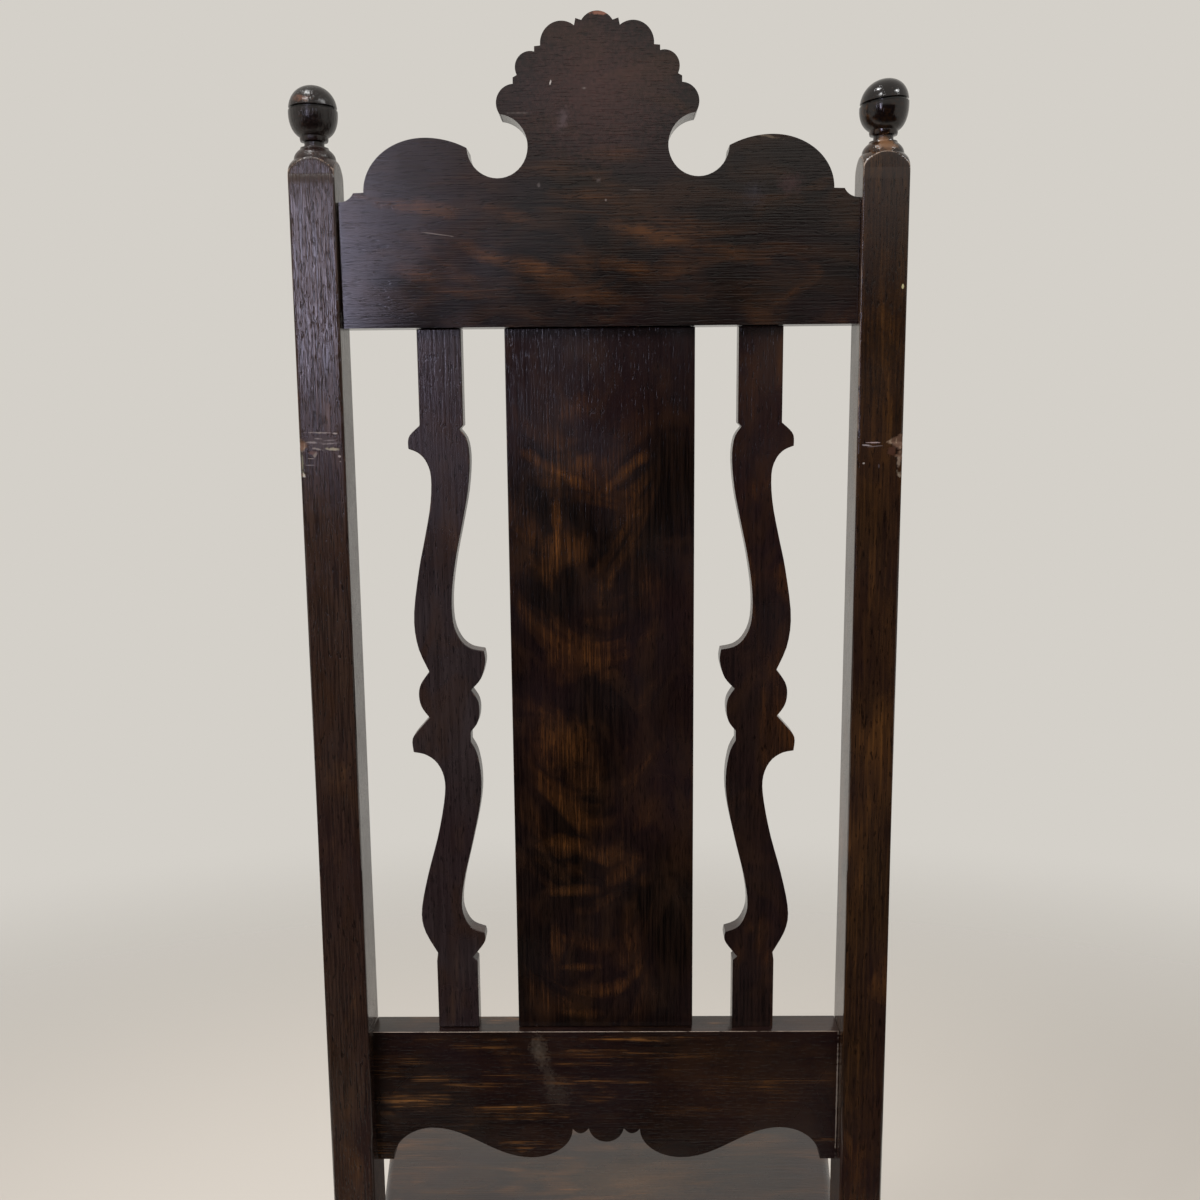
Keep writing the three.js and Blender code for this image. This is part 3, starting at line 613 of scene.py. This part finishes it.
rail_oak = varnished_oak("lower rail oak, stained and varnished", "x", figure=0.45, shift=1.7,
                         marks=rail_marks, thin=rail_thin, lined=0.85,
                         stain=("0b0504", "1f120a", "744c24"))
eased("lower_back_rail", rail_oak, tight=at_posts, rub=rail_rub)

# %% [markdown]
# ## The splats
#
# The centre splat is one plain board, and its figure is the finest thing on the chair: warm flames
# that sag across it below a dark top, drawn in fine upright lines. The scroll splats were sawn
# from plainer oak with the grain upright. The left one has a duller varnish and a grey sheen
# painted into its colour.

# %% Splats
splat_marks = (
    mark(-20, 604, 20, 4, -3, "3d2f2f", 0.5, 0.9),
    mark(30.5, 289, 11, 0.4, 2, "5b3a22", 0.7),
    mark(-10.5, 399, 0.7, 0.7, 0, "c8c0b8", 0.9, 0.25),
    mark(-42.2, 136, 0.9, 1.3, 0, "8d8684", 0.8),
)
splat_thin = (
    (27, 517, 26, 5, 29, 0.8), (-15, 517, 20, 4, -40, 0.65), (18, 562, 16, 9, -25, 0.25),
    (31, 473, 3, 24, 0, 1.0), (30, 466, 14, 12, 0, 0.35), (-22, 489, 14, 4, -25, 0.25),
    (20, 388, 18, 16, 0, 0.5), (30, 326, 20, 21, 0, 0.5), (28, 247, 17, 7, 0, 0.6),
    (-12, 225, 16, 6, -45, 0.4), (22, 212, 20, 4, 0, 0.45), (36, 168, 5, 20, 0, 0.45),
    (22, 152, 17, 3, 0, 0.4), (20, 116, 18, 4, 4, 0.4), (-66, 270, 3, 52, 0, 0.4),
    (-19, 170, 6, 10, -20, 0.3), (6, 300, 8, 22, -20, 0.25), (-30, 440, 12, 18, -20, 0.15),
)
splat_flames = dict(centre=12, bend=12, reach=44, low=90, high=590, depth=0.42)
splat_oak = varnished_oak("figured splat oak, stained and varnished", "z", shift=0.12,
                          marks=splat_marks, thin=splat_thin, flames=splat_flames, lined=0.66,
                          fineness=800.0, tooth=0.25, stain=("060302", "180e09", "633b17"))
scroll_oak = varnished_oak("scroll splat oak, stained and varnished", "z", figure=0.5, shift=2.3,
                           stain=("120b0a", "211512", "4a2b12"))
# the left scroll's greyish stain is a painted sheen, and its wider gloss range a duller varnish
dull_scroll_oak_with_painted_sheen = varnished_oak("scroll splat oak with a hazed varnish", "z", figure=0.2,
                                shift=3.4, gloss=(0.22, 0.34),
                                stain=("211919", "2e2525", "46301f"))
eased("centre_splat", splat_oak, width=0.7)
eased("scroll_splat_left", dull_scroll_oak_with_painted_sheen, width=0.7)
eased("scroll_splat_right", scroll_oak, width=0.7)

# %% [markdown]
# ## Turned posts
#
# A post is left square for most of its length and turned at the top. The lathe cuts a true circle
# into square stock, which leaves an arch on each face. Both shapes follow from one rule: at a
# given height, the surface is as far from the axis as the nearer of the two outlines. A soft
# version of that rule, a sum of high powers, also rounds the arrises, and tells how near to one a
# point is.

# %% The rule for square and turned
SHARPNESS = 34


def outline(direction, half_across, half_deep, turning):
    """Distance from the axis, and how close to an arris that is, for square stock in a lathe."""
    powers = [
        (abs(direction[0]) / half_across) ** SHARPNESS,
        (abs(direction[1]) / half_deep) ** SHARPNESS,
        (1 / turning) ** SHARPNESS,
    ]
    total = sum(powers)
    # on an arris two outlines are equally near, so the largest power is half of the total
    return total ** (-1 / SHARPNESS), min(1.0, 2.4 * (1 - max(powers) / total))


def bezier(points, steps):
    """Points along a curve from its control points, without the first."""
    out = []
    for i in range(1, steps + 1):
        t, row = i / steps, [Vector(p) for p in points]
        while len(row) > 1:
            row = [a.lerp(b, t) for a, b in zip(row, row[1:])]
        out.append(tuple(row[0]))
    return out


ARCH = 726  # height up the back of the arches' tops
# the finial's rings, as radius and height above the arch
FINIAL = [(22, -9.5)]
FINIAL += bezier([(22, -9.5), (19.5, -3.2), (13.9, 1.4)], 22)
FINIAL += bezier([(13.9, 1.4), (13.9, 5.2), (9.6, 8.2)], 12)
FINIAL += [(9.3, 9.3), (6.6, 10.0), (6.6, 11.4), (6.6, 12.6), (9.0, 13.3), (9.4, 14.6), (9.4, 16.2)]
FINIAL += bezier([(9.4, 16.2), (14.2, 18.8), (16.6, 25), (16.2, 32.8)], 16)
FINIAL += [(15.9, 33.0), (14.0, 33.2), (14.0, 34.4), (15.6, 34.6), (15.9, 34.9)]
FINIAL += bezier([(15.9, 34.9), (15, 43.5), (8.6, 49), (0.02, 49)], 24)
print("finial drawn with", len(FINIAL), "rings")

# %% [markdown]
# ## Chips
#
# At about elbow height something has knocked both posts: their outer rear arrises are chipped and
# the varnish round the chips is scuffed. A chip is a flat cut through the arris, so it is made as
# one: a plane that dips out of the rear face, widest at the chip's middle. What a point has lost
# is kept as an attribute, and the finish shows bare wood there.

# %% Cut the chips
HALF_WIDTH = 15.5
BARE_DEPTH = 0.2


def chipped(reach, way, half_deep, height, chips):
    """Distance from the axis after the chips, and the wood that is lost there, from 0 to 1.

    A chip is its height up the back, half its length, its width across the rear face, the slope
    of the cut in degrees, and the side that it is on. Noise makes its width uneven.
    """
    cut = reach
    for up, half, width, slope, outward in chips:
        spread = width * (1 - abs(height - up) / half)
        if spread <= 0:
            continue
        spread *= 1 + 0.45 * noise.noise(Vector((height * 0.7, up, 0)))
        dip = math.radians(slope)
        facing = (outward * math.sin(dip), math.cos(dip))
        level = math.sin(dip) * (HALF_WIDTH - spread) + facing[1] * half_deep
        towards = way[0] * facing[0] + way[1] * facing[1]
        if towards > 0:
            cut = min(cut, level / towards)
    return cut, min(1.0, (reach - cut) / BARE_DEPTH)


LEFT_CHIPS = ((539, 6.5, 6, 9, 1), (519, 2.6, 2.5, 18, 1), (526, 5, 1.6, 20, 1))
RIGHT_CHIPS = ((538.5, 6.5, 12, 7, -1), (529, 6, 5, 12, -1), (516.5, 3, 3.2, 15, -1),
               (640.6, 2.4, 2.2, 16, -1))
print("chips:", len(LEFT_CHIPS), "on the left post and", len(RIGHT_CHIPS), "on the right")

# %% [markdown]
# ## Lofting a post
#
# A post was sawn from one plank: its foot kicks back below the seat, it stands upright beside the
# seat frame, and it leans back above. Stacking closed rings and joining each to the next follows
# all of that in one skin, where separate blocks would leave seams. The rings stand close together
# where the chips are, and their points are closest at the four arrises.

# %% Where a post's sections stand
POST_X, TOP_DEPTH = 189.5, 28.7
SEAT_HEIGHT, BEND_HEIGHT = 445, 366.7
SEAT_POST_DEPTH, ARCH_POST_DEPTH = 40.5, 28.9
FOOT_FRONT, FOOT_REAR = 36, 70
CHIPS_FROM, CHIPS_TO = 1032, 1082
COARSE, FINE = 6, 0.8
LAST_SQUARE = ARCH - 10
SEAT_FRONT_Y = (SEAT_HEIGHT - FOOT_HEIGHT) * math.tan(RAKE)
BENCH_TO_ROOM = Matrix.Translation((0, 0, FOOT_HEIGHT)) @ Matrix.Rotation(-RAKE, 4, "X")


def ways_round():
    """Directions round the axis, closer together at the four arrises."""
    corner = math.atan2(TOP_DEPTH / 2, HALF_WIDTH)
    angles = set(round(a, 5) for a in np.linspace(0, 2 * math.pi, 80, endpoint=False))
    for base in (corner, math.pi - corner, math.pi + corner, 2 * math.pi - corner):
        angles |= {round(base + d, 5) for d in (-0.12, -0.05, -0.025, 0.0, 0.025, 0.05, 0.12)}
    return [(math.cos(a), math.sin(a)) for a in sorted(angles)]


def square_sections():
    """Front and rear of each section below the turning, as depth and height in the room."""
    top_front = BENCH_TO_ROOM @ Vector((0, 0, LAST_SQUARE))
    top_rear = BENCH_TO_ROOM @ Vector((0, ARCH_POST_DEPTH, LAST_SQUARE))
    seat_rear_y = SEAT_FRONT_Y + SEAT_POST_DEPTH
    keys = [
        ((SEAT_FRONT_Y + FOOT_FRONT, 0), (SEAT_FRONT_Y + FOOT_REAR, 0)),
        ((SEAT_FRONT_Y, BEND_HEIGHT), (seat_rear_y, BEND_HEIGHT)),
        ((SEAT_FRONT_Y, SEAT_HEIGHT), (seat_rear_y, SEAT_HEIGHT)),
        (top_front.yz, top_rear.yz),
    ]
    heights = [*np.arange(0, BEND_HEIGHT - 1, COARSE),
               *np.arange(BEND_HEIGHT, SEAT_HEIGHT, COARSE),
               *np.arange(SEAT_HEIGHT, CHIPS_FROM - 2, COARSE),
               *np.arange(CHIPS_FROM, CHIPS_TO, FINE),
               *np.arange(CHIPS_TO + 2, top_front.z - 3, COARSE), top_front.z]
    sections = []
    for height in heights:
        i = 0 if height < BEND_HEIGHT else 1 if height < SEAT_HEIGHT else 2
        t = (height - keys[i][0][1]) / (keys[i + 1][0][1] - keys[i][0][1])
        front, rear = (Vector(a).lerp(Vector(b), t) for a, b in zip(keys[i], keys[i + 1]))
        sections.append((Vector((0, *front)), Vector((0, *rear))))
    return sections


print("post section has", len(ways_round()), "points and stands", len(square_sections()), "times")

# %% Loft a post
UNTURNED = 60  # a radius too wide to reach the square
TURNED_FROM = 712
TURNED_CORNER = math.radians(42)
LEAN_FROM, LEAN_OVER = 18, 14


def post(label, side, material, chips, rub, ball_lean=0.0):
    """Replace a post. A ball that was glued back crooked leans from its foot up."""
    ways = ways_round()
    points, arris, lost = [], [], []

    def ring(centre, deep_way, half_deep, turning, half_across=HALF_WIDTH, lean=0.0):
        for way in ways:
            reach, near = outline(way, half_across, half_deep, turning)
            height = (BENCH_TO_ROOM.inverted() @ (centre + deep_way * (way[1] * reach))).z
            reach, gone = chipped(reach, way, half_deep, height, chips)
            place = (centre + Vector((way[0] * reach, 0, way[0] * reach * lean))
                     + deep_way * (way[1] * reach))
            points.append((place + Vector((0, FOOT_DEPTH, 0))) * MM)
            arris.append(near * rub(way[0] * side, way[1], height))
            lost.append(gone)

    axis = Vector((side * POST_X, 0, 0))
    for front, rear in square_sections():
        ring((front + rear) / 2 + axis, (rear - front).normalized(), (rear - front).length / 2,
             UNTURNED)
    deep_way = BENCH_TO_ROOM.to_3x3() @ Vector((0, 1, 0))
    for radius, above in FINIAL:
        # above the arch the square grows out of the way, and only the turning is left
        free = 1 if above < 3 else min(4, 1 + (above - 3))
        leaning = min(1.0, max(0.0, (above - LEAN_FROM) / LEAN_OVER))
        lean = math.tan(math.radians(ball_lean)) * leaning
        centre = BENCH_TO_ROOM @ Vector((side * POST_X, TOP_DEPTH / 2, ARCH + above))
        ring(centre, deep_way, TOP_DEPTH / 2 * free, radius, HALF_WIDTH * free, lean)

    n, rings = len(ways), len(points) // len(ways)
    faces = [(i * n + j, i * n + (j + 1) % n, (i + 1) * n + (j + 1) % n, (i + 1) * n + j)
             for i in range(rings - 1) for j in range(n)]
    faces += [tuple(reversed(range(n))), tuple(range((rings - 1) * n, rings * n))]
    mesh = bpy.data.meshes.new(f"back_post_{label}_turned")
    mesh.from_pydata(points, [], faces)
    mesh.attributes.new("arris", "FLOAT", "POINT").data.foreach_set("value", arris)
    mesh.attributes.new("lost_wood", "FLOAT", "POINT").data.foreach_set("value", lost)
    mesh.polygons.foreach_set("use_smooth", [True] * len(mesh.polygons))
    mesh.set_sharp_from_angle(angle=TURNED_CORNER)
    mesh.materials.append(material)
    piece = new_object(f"back_post_{label}_turned", mesh)
    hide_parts(f"back_post_{label}")
    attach(piece, "root")
    print(f"{piece.name}: {rings} rings, {len(mesh.polygons)} faces")


print("the ball ends", FINIAL[-1][1], "mm above the arch")

# %% [markdown]
# ## What has happened to each post, and the light painted on it
#
# The left post is greyed by the window light on its varnish, and a scuffed band runs round it at
# the chips, as if a strap had rubbed there. A warm reflection is painted on the cap of its ball.
# The right post is browner, with bare wood on its finial's neck and a crooked ball, and painted
# shade darkens its upper part. Both balls are darker than the posts, so a soft stain covers
# each one. Its strength is over 1 because the mixing stops at 1: such a stain is whole nearly out
# to its edge.

# %% The left post
POST_REAR = 31.4  # depth of the posts' rear faces at the chips
WHOLE_STAIN = 1.6
left_scuffs = [mark(*row, deep=POST_REAR) for row in (
    (190.5, 541.5, 14, 7, 2, "453a3b", 0.6, 0.9),
    (191, 547.6, 10.5, 0.6, 1, "8a7e79", 0.6, 0.6),
    (180.5, 547, 2.2, 0.7, 0, "a0948f", 0.7, 0.5),
    (192, 543.5, 3, 0.5, 3, "8d8280", 0.55, 0.5),
    (196, 541, 6, 0.8, 4, "8a807e", 0.6, 0.6),
    (184, 542.4, 5, 0.5, -2, "7f7575", 0.5, 0.6),
    (184, 540.2, 6, 0.7, -3, "857b7b", 0.55, 0.6),
    (182.5, 536.4, 5.5, 1.2, 3, "948b76", 0.75, 0.5),
    (193, 536.6, 4.5, 0.8, 12, "8a7f7a", 0.6, 0.5),
    (196, 534, 4, 1.6, 0, "6a4b42", 0.55, 0.8),
    (194.5, 532.6, 1.2, 2.2, 25, "857a72", 0.6, 0.4),
    (197.5, 530.2, 3.2, 0.4, 2, "7d7370", 0.65, 0.4),
    (198, 525.7, 3, 0.4, 0, "746a67", 0.55, 0.4),
    (177.8, 531.5, 1.2, 0.8, 0, "968b86", 0.75, 0.4),
    (177.5, 528, 0.9, 0.6, 0, "7d7370", 0.6, 0.4),
    (203.4, 527, 0.8, 10, 0, "77745f", 0.55, 0.6),
    (202.8, 518.8, 0.9, 2.0, -20, "a8a295", 0.8, 0.3),
)]
left_marks = (
    *left_scuffs,
    mark(190, 768, 60, 46, 0, "100a09", WHOLE_STAIN, 1.0, 14.0, 60.0),
    # painted reflection: a warm orange patch on the cap of the left ball
    mark(193.5, 764, 8, 3.4, 8, "684535", 0.75, 1.0, 26.0, 9.0),
)


def left_rub(outward, rearward, height):
    """The turning is rubbed most, and below it the outer rear arris."""
    if height > TURNED_FROM:
        return 0.9
    return 0.65 if outward > 0 and rearward > 0 else 0.4


left_oak = varnished_oak("left post oak, stained and varnished", "z", figure=0.4, shift=3.1,
                         marks=left_marks, gloss=(0.13, 0.24), tooth=0.6, fineness=800.0,
                         stain=("1f1510", "36271f", "4d3420"))
post("left", 1, left_oak, LEFT_CHIPS, left_rub)

# %% The right post
right_scuffs = [mark(*row, deep=POST_REAR) for row in (
    (-185, 537.8, 5.5, 0.45, 0, "a89494", 0.8, 0.4),
    (-180.5, 536, 3.4, 0.6, 6, "93898a", 0.75, 0.4),
    (-186, 535.3, 6.5, 0.4, -5, "75696a", 0.6, 0.5),
    (-179, 524, 0.9, 0.7, 0, "948b85", 0.85, 0.3),
    (-197.5, 532, 3.4, 3.6, 30, "3c1e0c", 0.9, 0.4),
    (-202.5, 525, 1.4, 4.5, 0, "7d6c5c", 0.7, 0.5),
    (-203, 516.3, 1.4, 2.8, -25, "706455", 0.75, 0.4),
    (-189, 522, 0.7, 1.8, 0, "4c4246", 0.6, 0.6),
)]
right_marks = (
    *right_scuffs,
    mark(-201.9, 640.6, 0.9, 1.8, 0, "c9c08e", 0.9, 0.25, 30.0),
    mark(-190, 768, 60, 46, 0, "0d0808", WHOLE_STAIN, 1.0, 14.0, 60.0),
    # painted shade: darkens the upper part of the right post, from the chips up to the finial's
    # neck
    mark(-190, 640, 34, 110, 0, "100b0b", 0.6, 1.2, 28.0, 40.0),
    mark(-188.4, 735.5, 4.2, 4.5, 0, "70523a", 0.95, 0.5, 22.0, 9.0),
    mark(-189.8, 731.4, 8.6, 4.8, 0, "664830", 0.95, 0.5, 27.0, 9.0),
)


def right_rub(outward, rearward, height):
    """The turning is rubbed most, and below it the outer rear arris above the chips."""
    if height > TURNED_FROM:
        return 1.0
    return 0.95 if outward < 0 < rearward and height > 545 else 0.4


right_oak = varnished_oak("right post oak, stained and varnished", "z", figure=0.7, shift=4.7,
                          marks=right_marks, gloss=(0.13, 0.24), tooth=0.26,
                          stain=("1c110b", "322011", "573719"))
post("right", -1, right_oak, RIGHT_CHIPS, right_rub, ball_lean=-6)

# %% [markdown]
# ## Front legs, turned from the square
#
# The two front legs follow the same rule as the posts, from the floor to the seat frame. Geometry
# Nodes suit them: a straight line of points carries the radius that the lathe leaves at each
# height, Curve to Mesh sweeps a circle of that radius along it, and one formula pulls the circle
# in to the square stock. The line, the half width, the number of points, the place and the finish
# are given from outside, so one tree turns both legs.

# %% The leg's turning, as radius and height
HALF_LEG = 21
CORNER = 29.7  # from the axis to a corner of the square
BLOCK = 42  # too wide to be turned, so the square is left
TURNING = [(15, 0)] + bezier([(15, 0), (26, 8), (26, 34), (15, 40)], 26)
TURNING += [(13, 44), (20, 47), (20, 51)] + bezier([(20, 51), (27, 53), (CORNER, 58)], 10)
TURNING += [(BLOCK, 58.1), (BLOCK, 80), (BLOCK, 100), (BLOCK, 119.9), (CORNER, 120)]
TURNING += bezier([(CORNER, 120), (27, 126), (20, 127)], 10) + [(20, 131), (14, 134)]
TURNING += bezier([(14, 134), (12, 150), (20.5, 160), (20.5, 182)], 20)
TURNING += bezier([(20.5, 182), (20.5, 210), (12, 268.7), (12, 314.7)], 30)
TURNING += [(17, 317.7), (17, 322.7), (12.5, 326.7)]
TURNING += bezier([(12.5, 326.7), (12.5, 335.7), (20, 337.7)], 8) + [(20, 341.7)]
TURNING += bezier([(20, 341.7), (27, 342.7), (CORNER, 348.7)], 10)
TURNING += [(BLOCK, 348.8), (BLOCK, 375), (BLOCK, 400), (BLOCK, 424.7)]
print("leg drawn with", len(TURNING), "radii")

# %% A node tree that turns square stock
def leg_turner():
    """A tree that sweeps a line's radii and pulls the sweep in to square stock."""
    tree = bpy.data.node_groups.new("turned from the square", "GeometryNodeTree")
    for name, kind, value in (
        ("Line", "NodeSocketGeometry", None), ("Half width", "NodeSocketFloat", 0.02),
        ("Points round", "NodeSocketInt", 96), ("Place", "NodeSocketVector", (0, 0, 0)),
        ("Finish", "NodeSocketMaterial", None),
    ):
        socket = tree.interface.new_socket(name, in_out="INPUT", socket_type=kind)
        if value is not None:
            socket.default_value = value
    tree.interface.new_socket("Leg", in_out="OUTPUT", socket_type="NodeSocketGeometry")
    given = add(tree, "NodeGroupInput").outputs

    radius = add(tree, "GeometryNodeInputNamedAttribute", {"Name": "turning"}, data_type="FLOAT")
    axis = add(tree, "GeometryNodeMeshToCurve", {"Mesh": given["Line"]})
    circle = add(tree, "GeometryNodeCurvePrimitiveCircle", {"Resolution": given["Points round"]})
    swept = add(tree, "GeometryNodeCurveToMesh", {
        "Curve": axis, "Profile Curve": circle, "Scale": radius, "Fill Caps": True})
    at = add(tree, "ShaderNodeSeparateXYZ", (add(tree, "GeometryNodeInputPosition"),)).outputs
    powers = []
    for side in ("X", "Y"):
        off = add(tree, "ShaderNodeMath", (at[side],), operation="ABSOLUTE")
        share = add(tree, "ShaderNodeMath", (off, given["Half width"]), operation="DIVIDE")
        powers.append(add(tree, "ShaderNodeMath", (share, SHARPNESS), operation="POWER"))
    total = add(tree, "ShaderNodeMath", powers, operation="ADD")
    total = add(tree, "ShaderNodeMath", (total, 1.0), operation="ADD")
    pull = add(tree, "ShaderNodeMath", (total, -1 / SHARPNESS), operation="POWER")
    most = add(tree, "ShaderNodeMath", powers, operation="MAXIMUM")
    most = add(tree, "ShaderNodeMath", (most, 1.0), operation="MAXIMUM")
    most = add(tree, "ShaderNodeMath", (most, total), operation="DIVIDE")
    near = add(tree, "ShaderNodeMath", (1.0, most), operation="SUBTRACT")
    near = add(tree, "ShaderNodeMath", (near, 1.1), operation="MULTIPLY")
    # a leg's arrises are rubbed lightly, so a half is the most that they get
    near = add(tree, "ShaderNodeMath", (near, 0.5), operation="MINIMUM")
    kept = add(tree, "GeometryNodeStoreNamedAttribute", {
        "Geometry": swept, "Name": "arris", "Value": near}, data_type="FLOAT", domain="POINT")
    pulled = [add(tree, "ShaderNodeMath", (at[side], pull), operation="MULTIPLY")
              for side in ("X", "Y")]
    moved = add(tree, "ShaderNodeCombineXYZ", (*pulled, at["Z"]))
    squared = add(tree, "GeometryNodeSetPosition", {"Geometry": kept, "Position": moved})
    smooth = add(tree, "GeometryNodeSetShadeSmooth", {"Geometry": squared})
    placed = add(tree, "GeometryNodeTransform", {"Geometry": smooth, "Translation": given["Place"]})
    whole = add(tree, "GeometryNodeRealizeInstances", {"Geometry": placed})
    oiled = add(tree, "GeometryNodeSetMaterial", {"Geometry": whole, "Material": given["Finish"]})
    add(tree, "NodeGroupOutput", (oiled,))
    return tree


turner = leg_turner()
print("turner tree has", len(turner.nodes), "nodes")

# %% Turn both legs
POINTS_ROUND = 144
leg_oak = varnished_oak("leg oak, stained and varnished", "z", lean=0.0, shift=7.3)


def front_leg(label):
    low, high = (Vector(c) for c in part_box(f"front_leg_{label}"))
    line = bpy.data.meshes.new("leg line")
    line.from_pydata([(0, 0, height * MM) for _, height in TURNING],
                     [(i, i + 1) for i in range(len(TURNING) - 1)], [])
    radii = line.attributes.new("turning", "FLOAT", "POINT")
    radii.data.foreach_set("value", [radius * MM for radius, _ in TURNING])
    stock = new_object("leg line", line)
    lathe = stock.modifiers.new("lathe", "NODES")
    lathe.node_group = turner
    identifier = {item.name: item.identifier for item in turner.interface.items_tree}
    for name, value in (("Half width", HALF_LEG * MM), ("Points round", POINTS_ROUND),
                        ("Place", ((low.x + high.x) / 2, (low.y + high.y) / 2, 0)),
                        ("Finish", leg_oak)):
        lathe[identifier[name]] = value
    finished = stock.evaluated_get(bpy.context.evaluated_depsgraph_get())
    mesh = bpy.data.meshes.new_from_object(finished)
    mesh.name = f"front_leg_{label}_turned"
    bpy.data.objects.remove(stock)
    mesh.set_sharp_from_angle(angle=TURNED_CORNER)
    piece = new_object(mesh.name, mesh)
    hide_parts(f"front_leg_{label}")
    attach(piece, "root")
    print(f"{piece.name}: {len(mesh.polygons)} faces")


front_leg("left")
front_leg("right")

# %% [markdown]
# ## The seat, its frame and the stretchers
#
# These are mostly out of the photograph, so they are finished plainly in the same oak, with their
# arrises eased as a joiner eases them. The rear rail and the corner blocks stand out of sight and
# were never varnished: they are bare oak, only darkened by age.

# %% Seat and rails
seat_marks = (
    mark(-20, 445, 70, 5, 0, "5a4028", 0.55, 1.3, 40.0, 45.0),
    mark(90, 445, 60, 5, 0, "3a2a1e", 0.5, 1.3, -60.0, 60.0),
)
seat_oak = varnished_oak("seat oak, stained and varnished", "x", lean=0.0, shift=5.2,
                         gloss=(0.2, 0.34), figure=0.7, marks=seat_marks,
                         stain=("120b09", "231711", "58371a"))
across_oak = varnished_oak("cross rail oak, stained and varnished", "x", lean=0.0, shift=6.4)
along_oak = varnished_oak("side rail oak, stained and varnished", "y", lean=0.0, shift=6.1)
bare_across = varnished_oak("bare oak of the rear rail", "x", lean=0.0, shift=8.2, tooth=0.8,
                            gloss=(0.55, 0.7), stain=("2a1c13", "3f2c1f", "5a3f2a"))
bare_along = varnished_oak("bare oak of the corner blocks", "y", lean=0.0, shift=9.1, tooth=0.8,
                           gloss=(0.55, 0.7), stain=("2e2016", "443022", "5e442e"))

eased("seat_board", seat_oak, width=0.8)
for width, oak, slot, nodes in (
    (0.8, across_oak, "dark_oak", ["seat_rail_front"]),
    (0.8, bare_across, "raw_oak", ["seat_rail_rear"]),
    (0.8, along_oak, "dark_oak", ["seat_rail_left", "seat_rail_right"]),
    (1.2, across_oak, "dark_oak", ["stretcher_front", "stretcher_rear"]),
    (1.2, along_oak, "dark_oak", ["stretcher_left", "stretcher_right"]),
    (0.8, bare_along, "raw_oak", ["corner_block_front_left", "corner_block_front_right",
                                  "corner_block_rear_left", "corner_block_rear_right"]),
):
    for node in nodes:
        eased(node, oak, width=width)

# %% [markdown]
# ## The view
#
# Colours are shown through the Standard view transform.

# %% Set the view transform
bpy.context.scene.view_settings.view_transform = "Standard"
